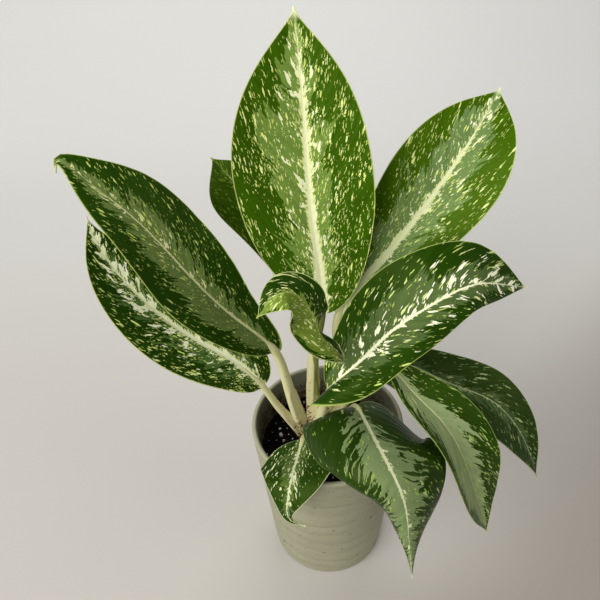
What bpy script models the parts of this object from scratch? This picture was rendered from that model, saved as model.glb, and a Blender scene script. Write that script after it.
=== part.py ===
"""Potted chinese evergreen: a ringed ceramic pot, soil, one crown of leaf stalks and twelve leaf blades.

Units are metres and +Z is up. The origin is the middle of the pot's flat base, +X is to the right
and +Y is away from the viewer. Points along stalks and midribs are written in millimetres.
"""

import math
import random
from typing import NamedTuple

import bmesh
import bpy
import numpy as np
from mathutils import Matrix, Vector

MM = 0.001
SEAT_GAP = 0.3 * MM

# Pot
POT_HEIGHT = 140 * MM
POT_RIM_RADIUS = 55 * MM
POT_BASE_RADIUS = 45 * MM
POT_WALL = 3.6 * MM
POT_FLOOR = 6 * MM
POT_EDGE = 2 * MM
POT_FOOT_BAND = 5 * MM
POT_RIM_BAND = 5 * MM
POT_RING_COUNT = 9
POT_RING_RELIEF = 0.45 * MM
POT_RING_STEPS = ((0.0, -1.0), (0.33, 0.5), (0.67, 0.5))
POT_RIM_STEPS = 4
POT_SIDES = 40

# Soil
SOIL_TOP = 112 * MM
SOIL_BUMP = 1.1 * MM
SOIL_EDGE_BUMP = 0.45 * MM
SOIL_SIDE_GAP = 1.5 * SEAT_GAP
SOIL_RINGS = 7
SOIL_SIDES = 30
GRAIN_COUNT = 14
GRAIN_RADIUS = (1.0 * MM, 1.9 * MM)
GRAIN_SPACE = 5 * MM

# Crown of stalks
CROWN_CENTRE = (-11 * MM, 4 * MM)
CANE_RADIUS = 11 * MM
CANE_FOOT = 80 * MM
CANE_TOP = 117 * MM
CANE_SIDES = 18
STALK_SIDES = 9
STALK_STEP = 8 * MM
STALK_POWER = 1.2

# Blades
BLADE_THICKNESS = 1.0 * MM
RIB_DEPTH = 2.6 * MM
RIB_HALF_WIDTH = 1.7 * MM
NECK_HALF_WIDTH = 5 * MM
TIP_HALF_WIDTH = 0.5 * MM
NECK_SHARE = 0.12
LOBE_PLACE = 0.1
LOBE_POWER = 3
ROW_POWER = 1.3
SWELL_POWER = 0.7
CORNER_POWER = 1.2
KEEL_POWER = 1.3
RIB_SHARE = (0.05, 0.3)
BLADE_ROWS = 16
BLADE_COLUMNS = (0.4, 0.72, 1.0)
CURL_STEPS = 24
PATH_SAMPLES = 300
PATH_NUDGE = 0.001

# Colours
BRIGHT_GREEN = (0.10, 0.22, 0.03)
DARK_GREEN = (0.035, 0.12, 0.02)
BRIGHT_LEAVES = ("leaf_top", "leaf_upper_right", "leaf_right", "leaf_young")
STEM_CREAM = (0.70, 0.66, 0.40)
POT_GLAZE = (0.48, 0.50, 0.38)
SOIL_BROWN = (0.022, 0.017, 0.013)

SEED = 7


class Leaf(NamedTuple):
    """One leaf: its stalk and its blade. Left and right are as seen with the tip up and its face in view.

    stalk      points that the stalk passes through, foot first, in mm; it ends at the blade
    midrib     points that the blade's middle passes through, base first, in mm
    face       directions in which the upper face looks, at the base, the middle and the tip
    width      left and right half widths in mm
    peak       how far along the blade each half is widest, from 0 to 1
    cup        rise of each half in degrees where it leaves the midrib, at even steps from base to tip
    curl       further rise in degrees that each half gathers towards its margin, in the same way
    lobe       how far each half sweeps back behind the blade's base, in mm
    wave       height in mm, number of waves and phase of the waved margin
    taper      how late the outline draws in to the tip, a larger number being later
    roundness  how full the outline of each half is, a smaller number being fuller
    corner     how far each half's outline is drawn out to a corner where it is widest, from 0 to 1
    onset      how soon each half's lobe sets in, a smaller number being sooner
    radius     the stalk's radius at its foot and at the blade, in mm
    """

    name: str
    stalk: tuple
    midrib: tuple
    face: tuple
    width: tuple
    peak: tuple
    cup: tuple = ((12,), (12,))
    curl: tuple = ((4,), (4,))
    lobe: tuple = (0, 0)
    wave: tuple = (1.0, 2.0, 0.0)
    taper: float = 12
    roundness: tuple = (0.6, 0.6)
    corner: tuple = (0, 0)
    onset: tuple = (0.6, 0.6)
    radius: tuple = (4.6, 2.6)


LEAVES = (
    Leaf(
        name="leaf_top",
        stalk=((-11, 5, 111), (-10, 6, 155), (-8, 7, 204)),
        midrib=((-3, 8, 235), (-7, 11, 303), (-10, 17, 364), (-13, 26, 411)),
        face=((0, -9, 3), (0, -9, 3), (0, -9, 2)),
        width=(41, 36),
        peak=(0.56, 0.48),
        curl=((6,), (6,)),
        wave=(1.5, 2.0, 0.0),
        radius=(5.0, 3.2),
    ),
    Leaf(
        name="leaf_upper_right",
        stalk=((-9, 7, 110), (4, 11, 152), (9, 12, 192)),
        midrib=((8, 12, 227), (30, 18, 260), (61, 28, 299), (90, 42, 341), (104, 58, 356)),
        face=((-2, -8, 5), (-2, -8, 5), (-2, -8, 6)),
        width=(32, 32),
        peak=(0.62, 0.67),
        cup=((10,), (10,)),
        curl=((6,), (6,)),
        lobe=(2, 6),
        wave=(1.5, 2.0, 0.3),
    ),
    Leaf(
        name="leaf_upper_left",
        stalk=((-12, 8, 112), (-9, 12, 150), (-9, 19, 195), (-22, 26, 235)),
        midrib=((-29, 28, 249), (-38, 36, 276), (-50, 47, 304), (-67, 62, 319)),
        face=((2, -8, 4), (2, -8, 4), (2, -8, 5)),
        width=(20, 22),
        peak=(0.72, 0.55),
        cup=((8,), (8,)),
        curl=((6,), (6,)),
        taper=7,
        radius=(4.0, 2.4),
    ),
    Leaf(
        name="leaf_left",
        stalk=((-13, 3, 109), (-22, 1, 150), (-28, -3, 190)),
        midrib=((-34, -6, 218), (-53, -10, 247), (-75, -14, 283), (-98, -15, 323),
                (-119, -13, 347), (-130, -11, 355), (-133, -10, 349)),
        face=((2, -5, 7), (2, -5, 8), (1, -5, 9)),
        width=(24, 26),
        peak=(0.45, 0.62),
        cup=((8,), (8,)),
        curl=((0,), (0,)),
        lobe=(0, 11),
        wave=(2.4, 2.2, 0.1),
        taper=8,
        radius=(5.6, 2.8),
        roundness=(0.6, 0.45),
        onset=(0.6, 0.4),
    ),
    Leaf(
        name="leaf_lower_left",
        stalk=((-14, 2, 111), (-24, 0, 136), (-36, -3, 163)),
        midrib=((-44, -4, 183), (-60, -3, 206), (-87, 0, 228), (-113, 5, 257),
                (-130, 12, 284), (-137, 20, 306)),
        face=((2, -5, 7), (2, -5, 7), (2, -5, 8)),
        width=(27, 28),
        peak=(0.45, 0.45),
        cup=((12,), (0,)),
        curl=((0,), (0,)),
        lobe=(0, 6),
        wave=(1.2, 2.0, 0.6),
        taper=9,
        radius=(4.4, 2.2),
    ),
    Leaf(
        name="leaf_right",
        stalk=((-10, 1, 112), (-5, -5, 150), (-2, -11, 172)),
        midrib=((1, -15, 187), (20, -20, 219), (37, -24, 247), (56, -26, 266),
                (78, -22, 276), (101, -12, 268), (120, -2, 257)),
        face=((-2, -5, 7), (-2, -5, 7), (-1, -5, 8)),
        width=(32, 22),
        peak=(0.5, 0.45),
        cup=((10,), (95, 5, -20, -20)),
        curl=((0,), (0, -30, -40, -40)),
        lobe=(0, 24),
        wave=(1.5, 2.5, 0.2),
    ),
    Leaf(
        name="leaf_young",
        stalk=((-11, 5, 110), (-10, 6, 150), (-8, 6, 190), (-5, -3, 218), (1, -23, 227)),
        midrib=((6, -31, 233), (3, -35, 243), (-5, -38, 258), (-13, -42, 285),
                (-24, -47, 297), (-38, -54, 287)),
        face=((3, -2, 4), (0, -4, 5), (-1, -4, 5)),
        width=(15, 12),
        peak=(0.58, 0.64),
        cup=((25, 0, 10, 10, 10), (30, 0, -60, -20, 10, 10, 10)),
        curl=((0,), (0,)),
        lobe=(4, 8),
        wave=(0.0, 1.5, 0.0),
        radius=(3.2, 1.9),
    ),
    Leaf(
        name="leaf_lower_right",
        stalk=((-9, 2, 109), (8, -1, 150), (24, -5, 186)),
        midrib=((37, -8, 201), (53, -22, 192), (69, -38, 182), (90, -52, 142), (110, -60, 80)),
        face=((-1, -4, 8), (1, -5, 7), (3, -6, 5)),
        width=(25, 26),
        peak=(0.5, 0.5),
        cup=((10,), (45, 45, 30)),
        curl=((0,), (0,)),
        wave=(1.2, 2.0, 0.4),
        taper=6,
    ),
    Leaf(
        name="leaf_far_right",
        stalk=((-8, 5, 111), (10, 6, 145), (27, 6, 172)),
        midrib=((42, 6, 188), (84, -4, 177), (112, -10, 165), (134, -20, 141), (151, -30, 101)),
        face=((0, -4, 8), (2, -5, 7), (4, -5, 5)),
        width=(21, 26),
        peak=(0.42, 0.35),
        cup=((10,), (10,)),
        curl=((0,), (0,)),
        lobe=(0, 10),
        wave=(1.2, 2.0, 0.8),
        taper=7,
    ),
    Leaf(
        name="leaf_front",
        stalk=((-10, 0, 110), (2, -10, 141), (12, -22, 168)),
        midrib=((16, -28, 185), (22, -50, 192), (28, -72, 194), (36, -88, 183),
                (42, -95, 152), (48, -99, 101)),
        face=((-1, -4, 8), (0, -6, 7), (0, -8, 5)),
        width=(52, 44),
        peak=(0.45, 0.24),
        cup=((-25, -20, -15, -20), (52, 18, -8, -20)),
        curl=((-20, -45, -35, -80), (-95, -85, -90)),
        lobe=(14, 15),
        taper=1.7,
        wave=(1.0, 2.0, 0.5),
        roundness=(0.8, 0.6),
        corner=(0.5, 0),
        onset=(0.6, 0.2),
    ),
    Leaf(
        name="leaf_front_small",
        stalk=((-12, 1, 112), (-15, -7, 126), (-17, -14, 139)),
        midrib=((-18, -20, 145), (-23, -38, 145), (-27, -53, 144), (-30, -62, 134),
                (-28, -66, 118), (-19, -68, 114)),
        face=((-3.5, -4, 8), (-3, -6, 7), (-1, -8, 5)),
        width=(31, 24),
        peak=(0.3, 0.38),
        cup=((4,), (5,)),
        curl=((0,), (0,)),
        taper=1.0,
        roundness=(1.6, 1.3),
        wave=(0.8, 2.0, 0.0),
        radius=(3.2, 2.0),
        corner=(0.3, 0.4),
    ),
    Leaf(
        name="leaf_back_right",
        stalk=((-8, 9, 109), (6, 16, 155), (12, 20, 200)),
        midrib=((14, 22, 218), (33, 42, 226), (62, 61, 236), (102, 80, 242)),
        face=((0, -4, 8), (0, -4, 8), (0, -4, 8)),
        width=(26, 26),
        peak=(0.5, 0.5),
        cup=((10,), (10,)),
        wave=(1.2, 2.0, 0.2),
        radius=(4.2, 2.4),
    ),
)


def clear_scene():
    for old in list(bpy.data.objects):
        bpy.data.objects.remove(old, do_unlink=True)


def make_material(name, colour, roughness, metallic=0.0):
    material = bpy.data.materials.new(name)
    material.use_nodes = True
    shader = material.node_tree.nodes["Principled BSDF"]
    shader.inputs["Base Color"].default_value = (*colour, 1.0)
    shader.inputs["Roughness"].default_value = roughness
    shader.inputs["Metallic"].default_value = metallic
    return material


def add_object(name, mesh, material=None, parent=None, location=(0, 0, 0)):
    obj = bpy.data.objects.new(name, mesh)
    bpy.context.scene.collection.objects.link(obj)
    obj.location = location
    obj.parent = parent
    if material is not None:
        mesh.materials.append(material)
    return obj


def mesh_from(name, points, faces):
    mesh = bpy.data.meshes.new(name)
    mesh.from_pydata([tuple(point) for point in points], [], faces)
    mesh.update()
    return mesh


def smooth_shade(mesh, angle=math.radians(40)):
    mesh.shade_smooth()
    mesh.set_sharp_from_angle(angle=angle)


def turned_mesh(name, profile, sides):
    """Spin a profile of (radius, height) points, which starts and ends on the axis, into a closed solid."""
    work = bmesh.new()
    corners = [work.verts.new((radius, 0, height)) for radius, height in profile]
    edges = [work.edges.new(pair) for pair in zip(corners, corners[1:])]
    bmesh.ops.spin(
        work,
        geom=corners + edges,
        axis=(0, 0, 1),
        cent=(0, 0, 0),
        dvec=(0, 0, 0),
        angle=2 * math.pi,
        steps=sides,
        use_merge=True,
    )
    bmesh.ops.remove_doubles(work, verts=work.verts, dist=0.01 * MM)
    bmesh.ops.recalc_face_normals(work, faces=work.faces)
    mesh = bpy.data.meshes.new(name)
    work.to_mesh(mesh)
    work.free()
    return mesh


def evaluated_mesh(obj):
    graph = bpy.context.evaluated_depsgraph_get()
    return bpy.data.meshes.new_from_object(obj.evaluated_get(graph), depsgraph=graph).copy()


def boolean_with(obj, operation, cutters, solver="EXACT"):
    """Join obj with every cutter, or cut them out of it, and drop the cutters."""
    group = bpy.data.collections.new("cutters")
    bpy.context.scene.collection.children.link(group)
    for cutter in cutters:
        bpy.context.scene.collection.objects.unlink(cutter)
        group.objects.link(cutter)
    modifier = obj.modifiers.new(operation.lower(), "BOOLEAN")
    modifier.operation = operation
    modifier.solver = solver
    modifier.operand_type = "COLLECTION"
    modifier.collection = group
    mesh = evaluated_mesh(obj)
    obj.modifiers.remove(modifier)
    obj.data = mesh
    for cutter in cutters:
        bpy.data.objects.remove(cutter, do_unlink=True)
    bpy.data.collections.remove(group)


# Smooth curves and rates of change along a leaf

def natural_spline(points):
    """A function of place, from 0 to 1, along a natural cubic spline, and the places of its points."""
    knots = np.array(points, float)
    count = len(knots)
    chord = np.concatenate([[0], np.cumsum(np.linalg.norm(np.diff(knots, axis=0), axis=1))])
    place = chord / chord[-1]
    system = np.eye(count)
    right_side = np.zeros((count, 3))
    for i in range(1, count - 1):
        before = place[i] - place[i - 1]
        after = place[i + 1] - place[i]
        system[i, i - 1:i + 2] = (before, 2 * (before + after), after)
        right_side[i] = 6 * ((knots[i + 1] - knots[i]) / after - (knots[i] - knots[i - 1]) / before)
    bend = np.linalg.solve(system, right_side)

    def position(where):
        span = np.clip(np.searchsorted(place, where, side="right") - 1, 0, count - 2)
        step = (place[span + 1] - place[span])[:, None]
        near = (place[span + 1] - where)[:, None] / step
        far = 1 - near
        curve = (near ** 3 - near) * bend[span] + (far ** 3 - far) * bend[span + 1]
        return near * knots[span] + far * knots[span + 1] + curve * step ** 2 / 6

    return position, place


def leaf_path(leaf, part, at):
    """Positions and directions at fractions of the length of a leaf's stalk or blade, and that length.

    One smooth curve runs through the stalk and the midrib, so that the blade carries on from the stalk.
    """
    position, place = natural_spline(leaf.stalk + leaf.midrib)
    joint = place[len(leaf.stalk)]
    first, last = {"stalk": (0, joint), "blade": (joint, 1)}[part]
    fine = np.linspace(first, last, PATH_SAMPLES)
    travelled = np.concatenate([[0], np.cumsum(np.linalg.norm(np.diff(position(fine), axis=0), axis=1))])
    length = travelled[-1]
    where = np.interp(at * length - (SEAT_GAP / MM if part == "stalk" else 0), travelled, fine)
    along = position(np.clip(where + PATH_NUDGE, 0, 1)) - position(np.clip(where - PATH_NUDGE, 0, 1))
    return position(where) * MM, along / np.linalg.norm(along, axis=1)[:, None], length * MM


def eased(stations, at):
    """Values at fractions of the length, easing from one evenly spaced station to the next."""
    stations = np.array(stations, float)
    if len(stations) == 1:
        return np.repeat(stations, len(at), axis=0)
    last = len(stations) - 1
    span = np.clip((at * last).astype(int), 0, last - 1)
    part = at * last - span
    part = part * part * (3 - 2 * part)
    if stations.ndim == 2:
        part = part[:, None]
    return stations[span] + (stations[span + 1] - stations[span]) * part


def outline(leaf, side, at):
    """Half width of a blade in metres at fractions of its length."""
    shift = math.log(0.5) / math.log(leaf.peak[side])

    def fullness(where):
        return np.sin(np.pi * where ** shift) ** leaf.roundness[side] * (1 - where ** leaf.taper)

    full = np.clip(np.nan_to_num(fullness(at)), 0, None) / fullness(np.linspace(0.01, 0.99, 99)).max()
    pointed = np.minimum(at / leaf.peak[side], (1 - at) / (1 - leaf.peak[side])) ** CORNER_POWER
    full += leaf.corner[side] * (pointed - full)
    neck = NECK_HALF_WIDTH * np.clip(1 - at / NECK_SHARE, 0, 1)
    return np.maximum(leaf.width[side] * MM * full, np.maximum(neck, TIP_HALF_WIDTH))


# Blades

def blade_sections(leaf, rows):
    """Frames along the midrib: positions, directions, and the sideways and upward unit vectors."""
    at = np.linspace(0, 1, rows + 1) ** ROW_POWER
    middle, along, _ = leaf_path(leaf, "blade", at)
    facing = np.array([np.array(way, float) / np.linalg.norm(way) for way in leaf.face])
    up = eased(facing, at)
    up = up - (up * along).sum(axis=1)[:, None] * along
    up = up / np.linalg.norm(up, axis=1)[:, None]
    return at, middle, along, np.cross(along, up), up


def blade_half(leaf, side, rows, columns):
    """Points of half of the blade's middle surface and their normals, in rows, midrib first."""
    at, middle, along, sideways, up = blade_sections(leaf, rows)
    sign = (-1, 1)[side]
    half = outline(leaf, side, at)
    cup = np.radians(eased(leaf.cup[side], at))
    curl = np.radians(eased(leaf.curl[side], at))
    steps = (np.arange(CURL_STEPS) + 0.5) / CURL_STEPS
    angle = cup[:, None] + curl[:, None] * steps
    reach = np.concatenate([np.zeros((rows + 1, 1)), np.cumsum(np.cos(angle), axis=1) / CURL_STEPS], axis=1)
    rise = np.concatenate([np.zeros((rows + 1, 1)), np.cumsum(np.sin(angle), axis=1) / CURL_STEPS], axis=1)
    ticks = np.linspace(0, 1, CURL_STEPS + 1)
    height, waves, phase = leaf.wave
    swell = np.sin(2 * np.pi * (waves * at + phase + 0.25 * sign)) * np.sin(np.pi * at) ** SWELL_POWER
    sweep = leaf.lobe[side] * (at / LOBE_PLACE * np.exp(1 - at / LOBE_PLACE)) ** leaf.onset[side]
    rib = np.clip(RIB_HALF_WIDTH / half, *RIB_SHARE)
    points = []
    normals = []
    for column in (0, None, *columns):
        across = rib if column is None else np.full(rows + 1, float(column))
        out = np.array([np.interp(across[i], ticks, reach[i]) for i in range(rows + 1)]) * half
        lift = np.array([np.interp(across[i], ticks, rise[i]) for i in range(rows + 1)]) * half
        lift += height * MM * swell * across ** 2
        back = MM * sweep * across ** LOBE_POWER
        tilt = cup + curl * across
        points.append(middle + sideways * (sign * out)[:, None] + up * lift[:, None] - along * back[:, None])
        normals.append(up * np.cos(tilt)[:, None] - sideways * (sign * np.sin(tilt))[:, None])
    normals[0] = up
    return np.stack(points, axis=1), np.stack(normals, axis=1)


def blade_mesh(leaf):
    """A closed thin solid with a keel under its midrib, both faces split into triangles the same way."""
    left, left_normals = blade_half(leaf, 0, BLADE_ROWS, BLADE_COLUMNS)
    right, right_normals = blade_half(leaf, 1, BLADE_ROWS, BLADE_COLUMNS)
    points = np.concatenate([left[:, ::-1], right[:, 1:]], axis=1)
    normals = np.concatenate([left_normals[:, ::-1], right_normals[:, 1:]], axis=1)
    row_count, column_count = points.shape[:2]
    keel = np.zeros((row_count, column_count))
    keel[:, column_count // 2] = RIB_DEPTH * (1 - np.linspace(0, 1, row_count) ** ROW_POWER) ** KEEL_POWER
    upper = points + normals * (BLADE_THICKNESS / 2)
    lower = points - normals * (BLADE_THICKNESS / 2 + keel)[..., None]
    base = points[0, column_count // 2].copy()
    size = row_count * column_count
    faces = []

    def number(row, column, below):
        return below * size + row * column_count + column

    for row in range(row_count - 1):
        for column in range(column_count - 1):
            a, b = (row, column), (row, column + 1)
            c, d = (row + 1, column + 1), (row + 1, column)
            for three in ((a, b, c), (a, c, d)):
                faces.append([number(*corner, 0) for corner in three])
                faces.append([number(*corner, 1) for corner in reversed(three)])
    rim = [(0, column) for column in range(column_count - 1)]
    rim += [(row, column_count - 1) for row in range(row_count - 1)]
    rim += [(row_count - 1, column) for column in range(column_count - 1, 0, -1)]
    rim += [(row, 0) for row in range(row_count - 1, 0, -1)]
    for here, there in zip(rim, rim[1:] + rim[:1]):
        faces.append([number(*here, 0), number(*here, 1), number(*there, 1)])
        faces.append([number(*here, 0), number(*there, 1), number(*there, 0)])
    corners = np.concatenate([upper.reshape(-1, 3), lower.reshape(-1, 3)]) - base
    return mesh_from(leaf.name, corners, faces), base


# Crown of stalks

def stalk_mesh(leaf):
    """A tapering tube along the stalk, which ends a small gap short of the blade."""
    length = leaf_path(leaf, "stalk", np.array([0.0]))[2]
    at = np.linspace(0, 1, max(4, round(length / STALK_STEP)) + 1)
    middle, direction, _ = leaf_path(leaf, "stalk", at)
    foot_radius, top_radius = leaf.radius
    radii = (top_radius + (foot_radius - top_radius) * (1 - at) ** STALK_POWER) * MM
    work = bmesh.new()
    side_way = Vector((1, 0, 0))
    loops = []
    for centre, way, radius in zip(middle, direction, radii):
        way = Vector(way)
        side_way = (side_way - way * side_way.dot(way)).normalized()
        other_way = way.cross(side_way)
        ring = []
        for i in range(STALK_SIDES):
            turn = 2 * math.pi * i / STALK_SIDES
            offset = side_way * math.cos(turn) + other_way * math.sin(turn)
            ring.append(work.verts.new(Vector(centre) + offset * radius))
        loops.append(ring)
    for lower, upper in zip(loops, loops[1:]):
        for i in range(STALK_SIDES):
            j = (i + 1) % STALK_SIDES
            work.faces.new((lower[i], lower[j], upper[j], upper[i]))
    work.faces.new(list(reversed(loops[0])))
    work.faces.new(loops[-1])
    mesh = bpy.data.meshes.new("stalk")
    work.to_mesh(mesh)
    work.free()
    return mesh


def cylinder_mesh(name, radius, bottom, top, sides):
    work = bmesh.new()
    middle = Matrix.Translation((*CROWN_CENTRE, (bottom + top) / 2))
    bmesh.ops.create_cone(
        work,
        cap_ends=True,
        segments=sides,
        radius1=radius,
        radius2=radius,
        depth=top - bottom,
        matrix=middle,
    )
    mesh = bpy.data.meshes.new(name)
    work.to_mesh(mesh)
    work.free()
    return mesh


def build_stem(parent):
    """The short cane in the soil with every leaf stalk joined to it, as one solid."""
    material = make_material("stem_cream", STEM_CREAM, 0.45)
    cane = cylinder_mesh("stem", CANE_RADIUS, CANE_FOOT, CANE_TOP, CANE_SIDES)
    stem = add_object("stem", cane, material, parent)
    stalks = [add_object("stalk_" + leaf.name, stalk_mesh(leaf)) for leaf in LEAVES]
    boolean_with(stem, "UNION", stalks, "MANIFOLD")
    smooth_shade(stem.data)
    return stem


# Pot and soil

def wall_radius(height):
    """Radius of the pot's plain tapered outside at a height."""
    return POT_BASE_RADIUS + (POT_RIM_RADIUS - POT_BASE_RADIUS) * height / POT_HEIGHT


def inner_radius(height):
    return wall_radius(height) - POT_WALL


def pot_profile():
    """The pot's section from the middle of its base, up the ringed outside and down the plain inside."""
    profile = [(0, 0), (wall_radius(0) - POT_EDGE, 0), (wall_radius(POT_EDGE), POT_EDGE)]
    ring_height = (POT_HEIGHT - POT_FOOT_BAND - POT_RIM_BAND) / POT_RING_COUNT
    for ring in range(POT_RING_COUNT):
        for part, relief in POT_RING_STEPS:
            height = POT_FOOT_BAND + (ring + part) * ring_height
            profile.append((wall_radius(height) + relief * POT_RING_RELIEF, height))
    rim_middle = POT_RIM_RADIUS - POT_WALL / 2
    rim_height = POT_HEIGHT - POT_WALL / 2
    for step in range(POT_RIM_STEPS + 1):
        turn = math.pi * step / POT_RIM_STEPS
        out = math.cos(turn) * POT_WALL / 2
        profile.append((rim_middle + out, rim_height + math.sin(turn) * POT_WALL / 2))
    profile += [(inner_radius(SOIL_TOP), SOIL_TOP), (inner_radius(POT_FLOOR), POT_FLOOR), (0, POT_FLOOR)]
    return profile


def build_pot(parent):
    material = make_material("pot_ceramic", POT_GLAZE, 0.5)
    pot = add_object("pot", turned_mesh("pot", pot_profile(), POT_SIDES), material, parent)
    smooth_shade(pot.data)
    return pot


def soil_mesh():
    """The potting mix: it fills the pot with a small gap all round and has a lumpy top."""
    draw = random.Random(SEED)
    bottom = POT_FLOOR + SEAT_GAP
    low_radius = inner_radius(bottom) - SOIL_SIDE_GAP
    top_radius = inner_radius(SOIL_TOP) - SOIL_SIDE_GAP
    points = [(0, 0, bottom)]
    rings = [[0]]

    def add_ring(radius, height, bump):
        start = len(points)
        for i in range(SOIL_SIDES):
            turn = 2 * math.pi * i / SOIL_SIDES
            lumpy = height + draw.uniform(-bump, bump)
            points.append((radius * math.cos(turn), radius * math.sin(turn), lumpy))
        rings.append(list(range(start, len(points))))

    add_ring(low_radius, bottom, 0)
    for ring in range(SOIL_RINGS):
        reach = 1 - ring / SOIL_RINGS
        add_ring(top_radius * reach, SOIL_TOP, SOIL_EDGE_BUMP if ring == 0 else SOIL_BUMP)
    points.append((0, 0, SOIL_TOP))
    rings.append([len(points) - 1])
    faces = []
    for lower, upper in zip(rings, rings[1:]):
        for i in range(SOIL_SIDES):
            j = (i + 1) % SOIL_SIDES
            if len(lower) == 1:
                faces.append((lower[0], upper[j], upper[i]))
            elif len(upper) == 1:
                faces.append((lower[i], lower[j], upper[0]))
            else:
                faces.append((lower[i], lower[j], upper[j]))
                faces.append((lower[i], upper[j], upper[i]))
    return mesh_from("soil", points, faces)


def grain_places():
    """Seeded places of the pale mineral grains that lie in the soil's top, clear of the cane and the pot."""
    draw = random.Random(SEED + 1)
    places = []
    while len(places) < GRAIN_COUNT:
        reach = (inner_radius(SOIL_TOP) - GRAIN_SPACE) * math.sqrt(draw.random())
        turn = draw.uniform(0, 2 * math.pi)
        place = Vector((reach * math.cos(turn), reach * math.sin(turn), SOIL_TOP))
        to_cane = math.hypot(place.x - CROWN_CENTRE[0], place.y - CROWN_CENTRE[1])
        radius = draw.uniform(*GRAIN_RADIUS)
        apart = all((place - other).length > GRAIN_SPACE for other, _ in places)
        if apart and to_cane > CANE_RADIUS + GRAIN_SPACE:
            places.append((place, radius))
    return places


def build_soil(parent):
    """Soil with a few mineral grains in its top and a blind hole in which the cane stands."""
    material = make_material("soil", SOIL_BROWN, 0.95)
    soil = add_object("soil", soil_mesh(), material, parent)
    grains = []
    for place, radius in grain_places():
        work = bmesh.new()
        bmesh.ops.create_icosphere(work, subdivisions=1, radius=radius, matrix=Matrix.Translation(place))
        mesh = bpy.data.meshes.new("grain")
        work.to_mesh(mesh)
        work.free()
        grains.append(add_object("grain", mesh))
    boolean_with(soil, "UNION", grains)
    hole = cylinder_mesh("hole", CANE_RADIUS + SEAT_GAP, CANE_FOOT - SEAT_GAP, CANE_TOP, CANE_SIDES)
    boolean_with(soil, "DIFFERENCE", [add_object("hole", hole)])
    return soil


def build_blades(parent):
    for leaf in LEAVES:
        colour = BRIGHT_GREEN if leaf.name in BRIGHT_LEAVES else DARK_GREEN
        mesh, base = blade_mesh(leaf)
        blade = add_object(leaf.name, mesh, make_material(leaf.name, colour, 0.4), parent, base)
        smooth_shade(blade.data)


def main():
    clear_scene()
    planter = add_object("planter", None)
    build_pot(planter)
    build_soil(planter)
    build_stem(planter)
    build_blades(planter)


main()
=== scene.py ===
"""Potted chinese evergreen: twelve variegated blades on cream stalks in a thrown sage pot.

Everything is in metres in the part's own frame: +Z is up, +X is to the right, +Y is away from the
viewer, and the origin is the middle of the pot's flat base. Points along stalks and midribs, and the
lengths that the leaf materials work in, are written in millimetres.
"""

import math
import random
from typing import NamedTuple

import bmesh
import bpy
import numpy as np
from bpy.props import FloatProperty, FloatVectorProperty, IntProperty, PointerProperty
from mathutils import Matrix, Vector


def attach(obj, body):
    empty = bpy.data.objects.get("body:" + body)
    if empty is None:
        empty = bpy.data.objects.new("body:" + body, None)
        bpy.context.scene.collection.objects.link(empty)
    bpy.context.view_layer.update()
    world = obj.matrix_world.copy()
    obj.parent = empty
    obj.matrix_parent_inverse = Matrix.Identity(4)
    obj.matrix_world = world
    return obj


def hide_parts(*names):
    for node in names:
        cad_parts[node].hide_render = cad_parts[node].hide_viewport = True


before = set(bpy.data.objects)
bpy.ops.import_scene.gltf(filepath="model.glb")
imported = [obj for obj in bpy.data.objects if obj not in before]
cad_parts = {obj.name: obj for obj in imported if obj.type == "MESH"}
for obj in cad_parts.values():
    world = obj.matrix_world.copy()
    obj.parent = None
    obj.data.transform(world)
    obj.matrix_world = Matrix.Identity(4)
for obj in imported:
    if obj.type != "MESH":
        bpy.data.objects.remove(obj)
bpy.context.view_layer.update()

bl_info = {
    "name": "Potted chinese evergreen",
    "version": (1, 0, 0),
    "blender": (4, 5, 0),
    "location": "3D View > Sidebar > Planter",
    "description": "Builds a potted chinese evergreen piece by piece over its solid model",
    "category": "Add Mesh",
}

BODY = "root"
MM = 0.001

MERGE_DISTANCE = 0.005 * MM
FULL_TURN = 2 * math.pi

# Pot
POT_HEIGHT = 140 * MM
POT_RIM_RADIUS = 55 * MM
POT_BASE_RADIUS = 45 * MM
POT_WALL = 3.6 * MM
POT_FLOOR = 6 * MM
POT_EDGE = 2 * MM
POT_FOOT_BAND = 5 * MM
POT_RIM_BAND = 5 * MM
EDGE_STEPS = 4
RIM_STEPS = 16
WALL_STEP = 1.1 * MM
INNER_STEP = 3 * MM
RING_MIDDLE = 0.75
RING_DRIFT = 1.5
RING_STRENGTH = (0.2, 0.7)

# Depths below the rim, and inside the outer wall, between which the painted highlight on the rim and the
# painted shade and soil stain inside set in
RIM_HIGHLIGHT_DEPTHS = (2.6 * MM, 0.6 * MM)
INSIDE_EDGE = (3.4 * MM, 2.0 * MM)

# Scattered specks: cells for each metre, the share of cells that hold one, and sizes as shares of a cell
SPECK_CELLS = 150.0
SPECK_SHARE = 0.45
SPECK_SIZES = (0.05, 0.16)
SPECK_BLUR = (-0.02, 0.03)
FINE_CELLS = 420.0
FINE_SHARE = 0.3
FINE_SIZE = 0.24
FINE_BLUR = 0.05

# Brightness of the glaze in its clouds, of the painted highlight on the rim and of the painted shade
# inside, against its own colour
GLAZE_DARK = 0.84
GLAZE_LIGHT = 1.10
GLAZE_RIM_HIGHLIGHT = 1.35
GLAZE_SHADED_INSIDE = 0.42

# How strongly each part covers the glaze, the rim with its painted highlight and the inside with its
# painted shade
SPECK_COVER = 0.85
FINE_COVER = 0.45
RIM_HIGHLIGHT_COVER = 0.45
INSIDE_SHADE_COVER = 0.9

# Height of the soil stain's ragged edge inside the wall, how far it ranges above that and how it fades
STAIN_FOOT = 109 * MM
STAIN_RISE = 34 * MM
STAIN_FADE = (-3 * MM, 7 * MM)

# Soil
SOIL_TOP = 112 * MM
SOIL_GAP = 0.4 * MM
SOIL_RINGS = 34
SOIL_SIDES = 96

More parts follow.
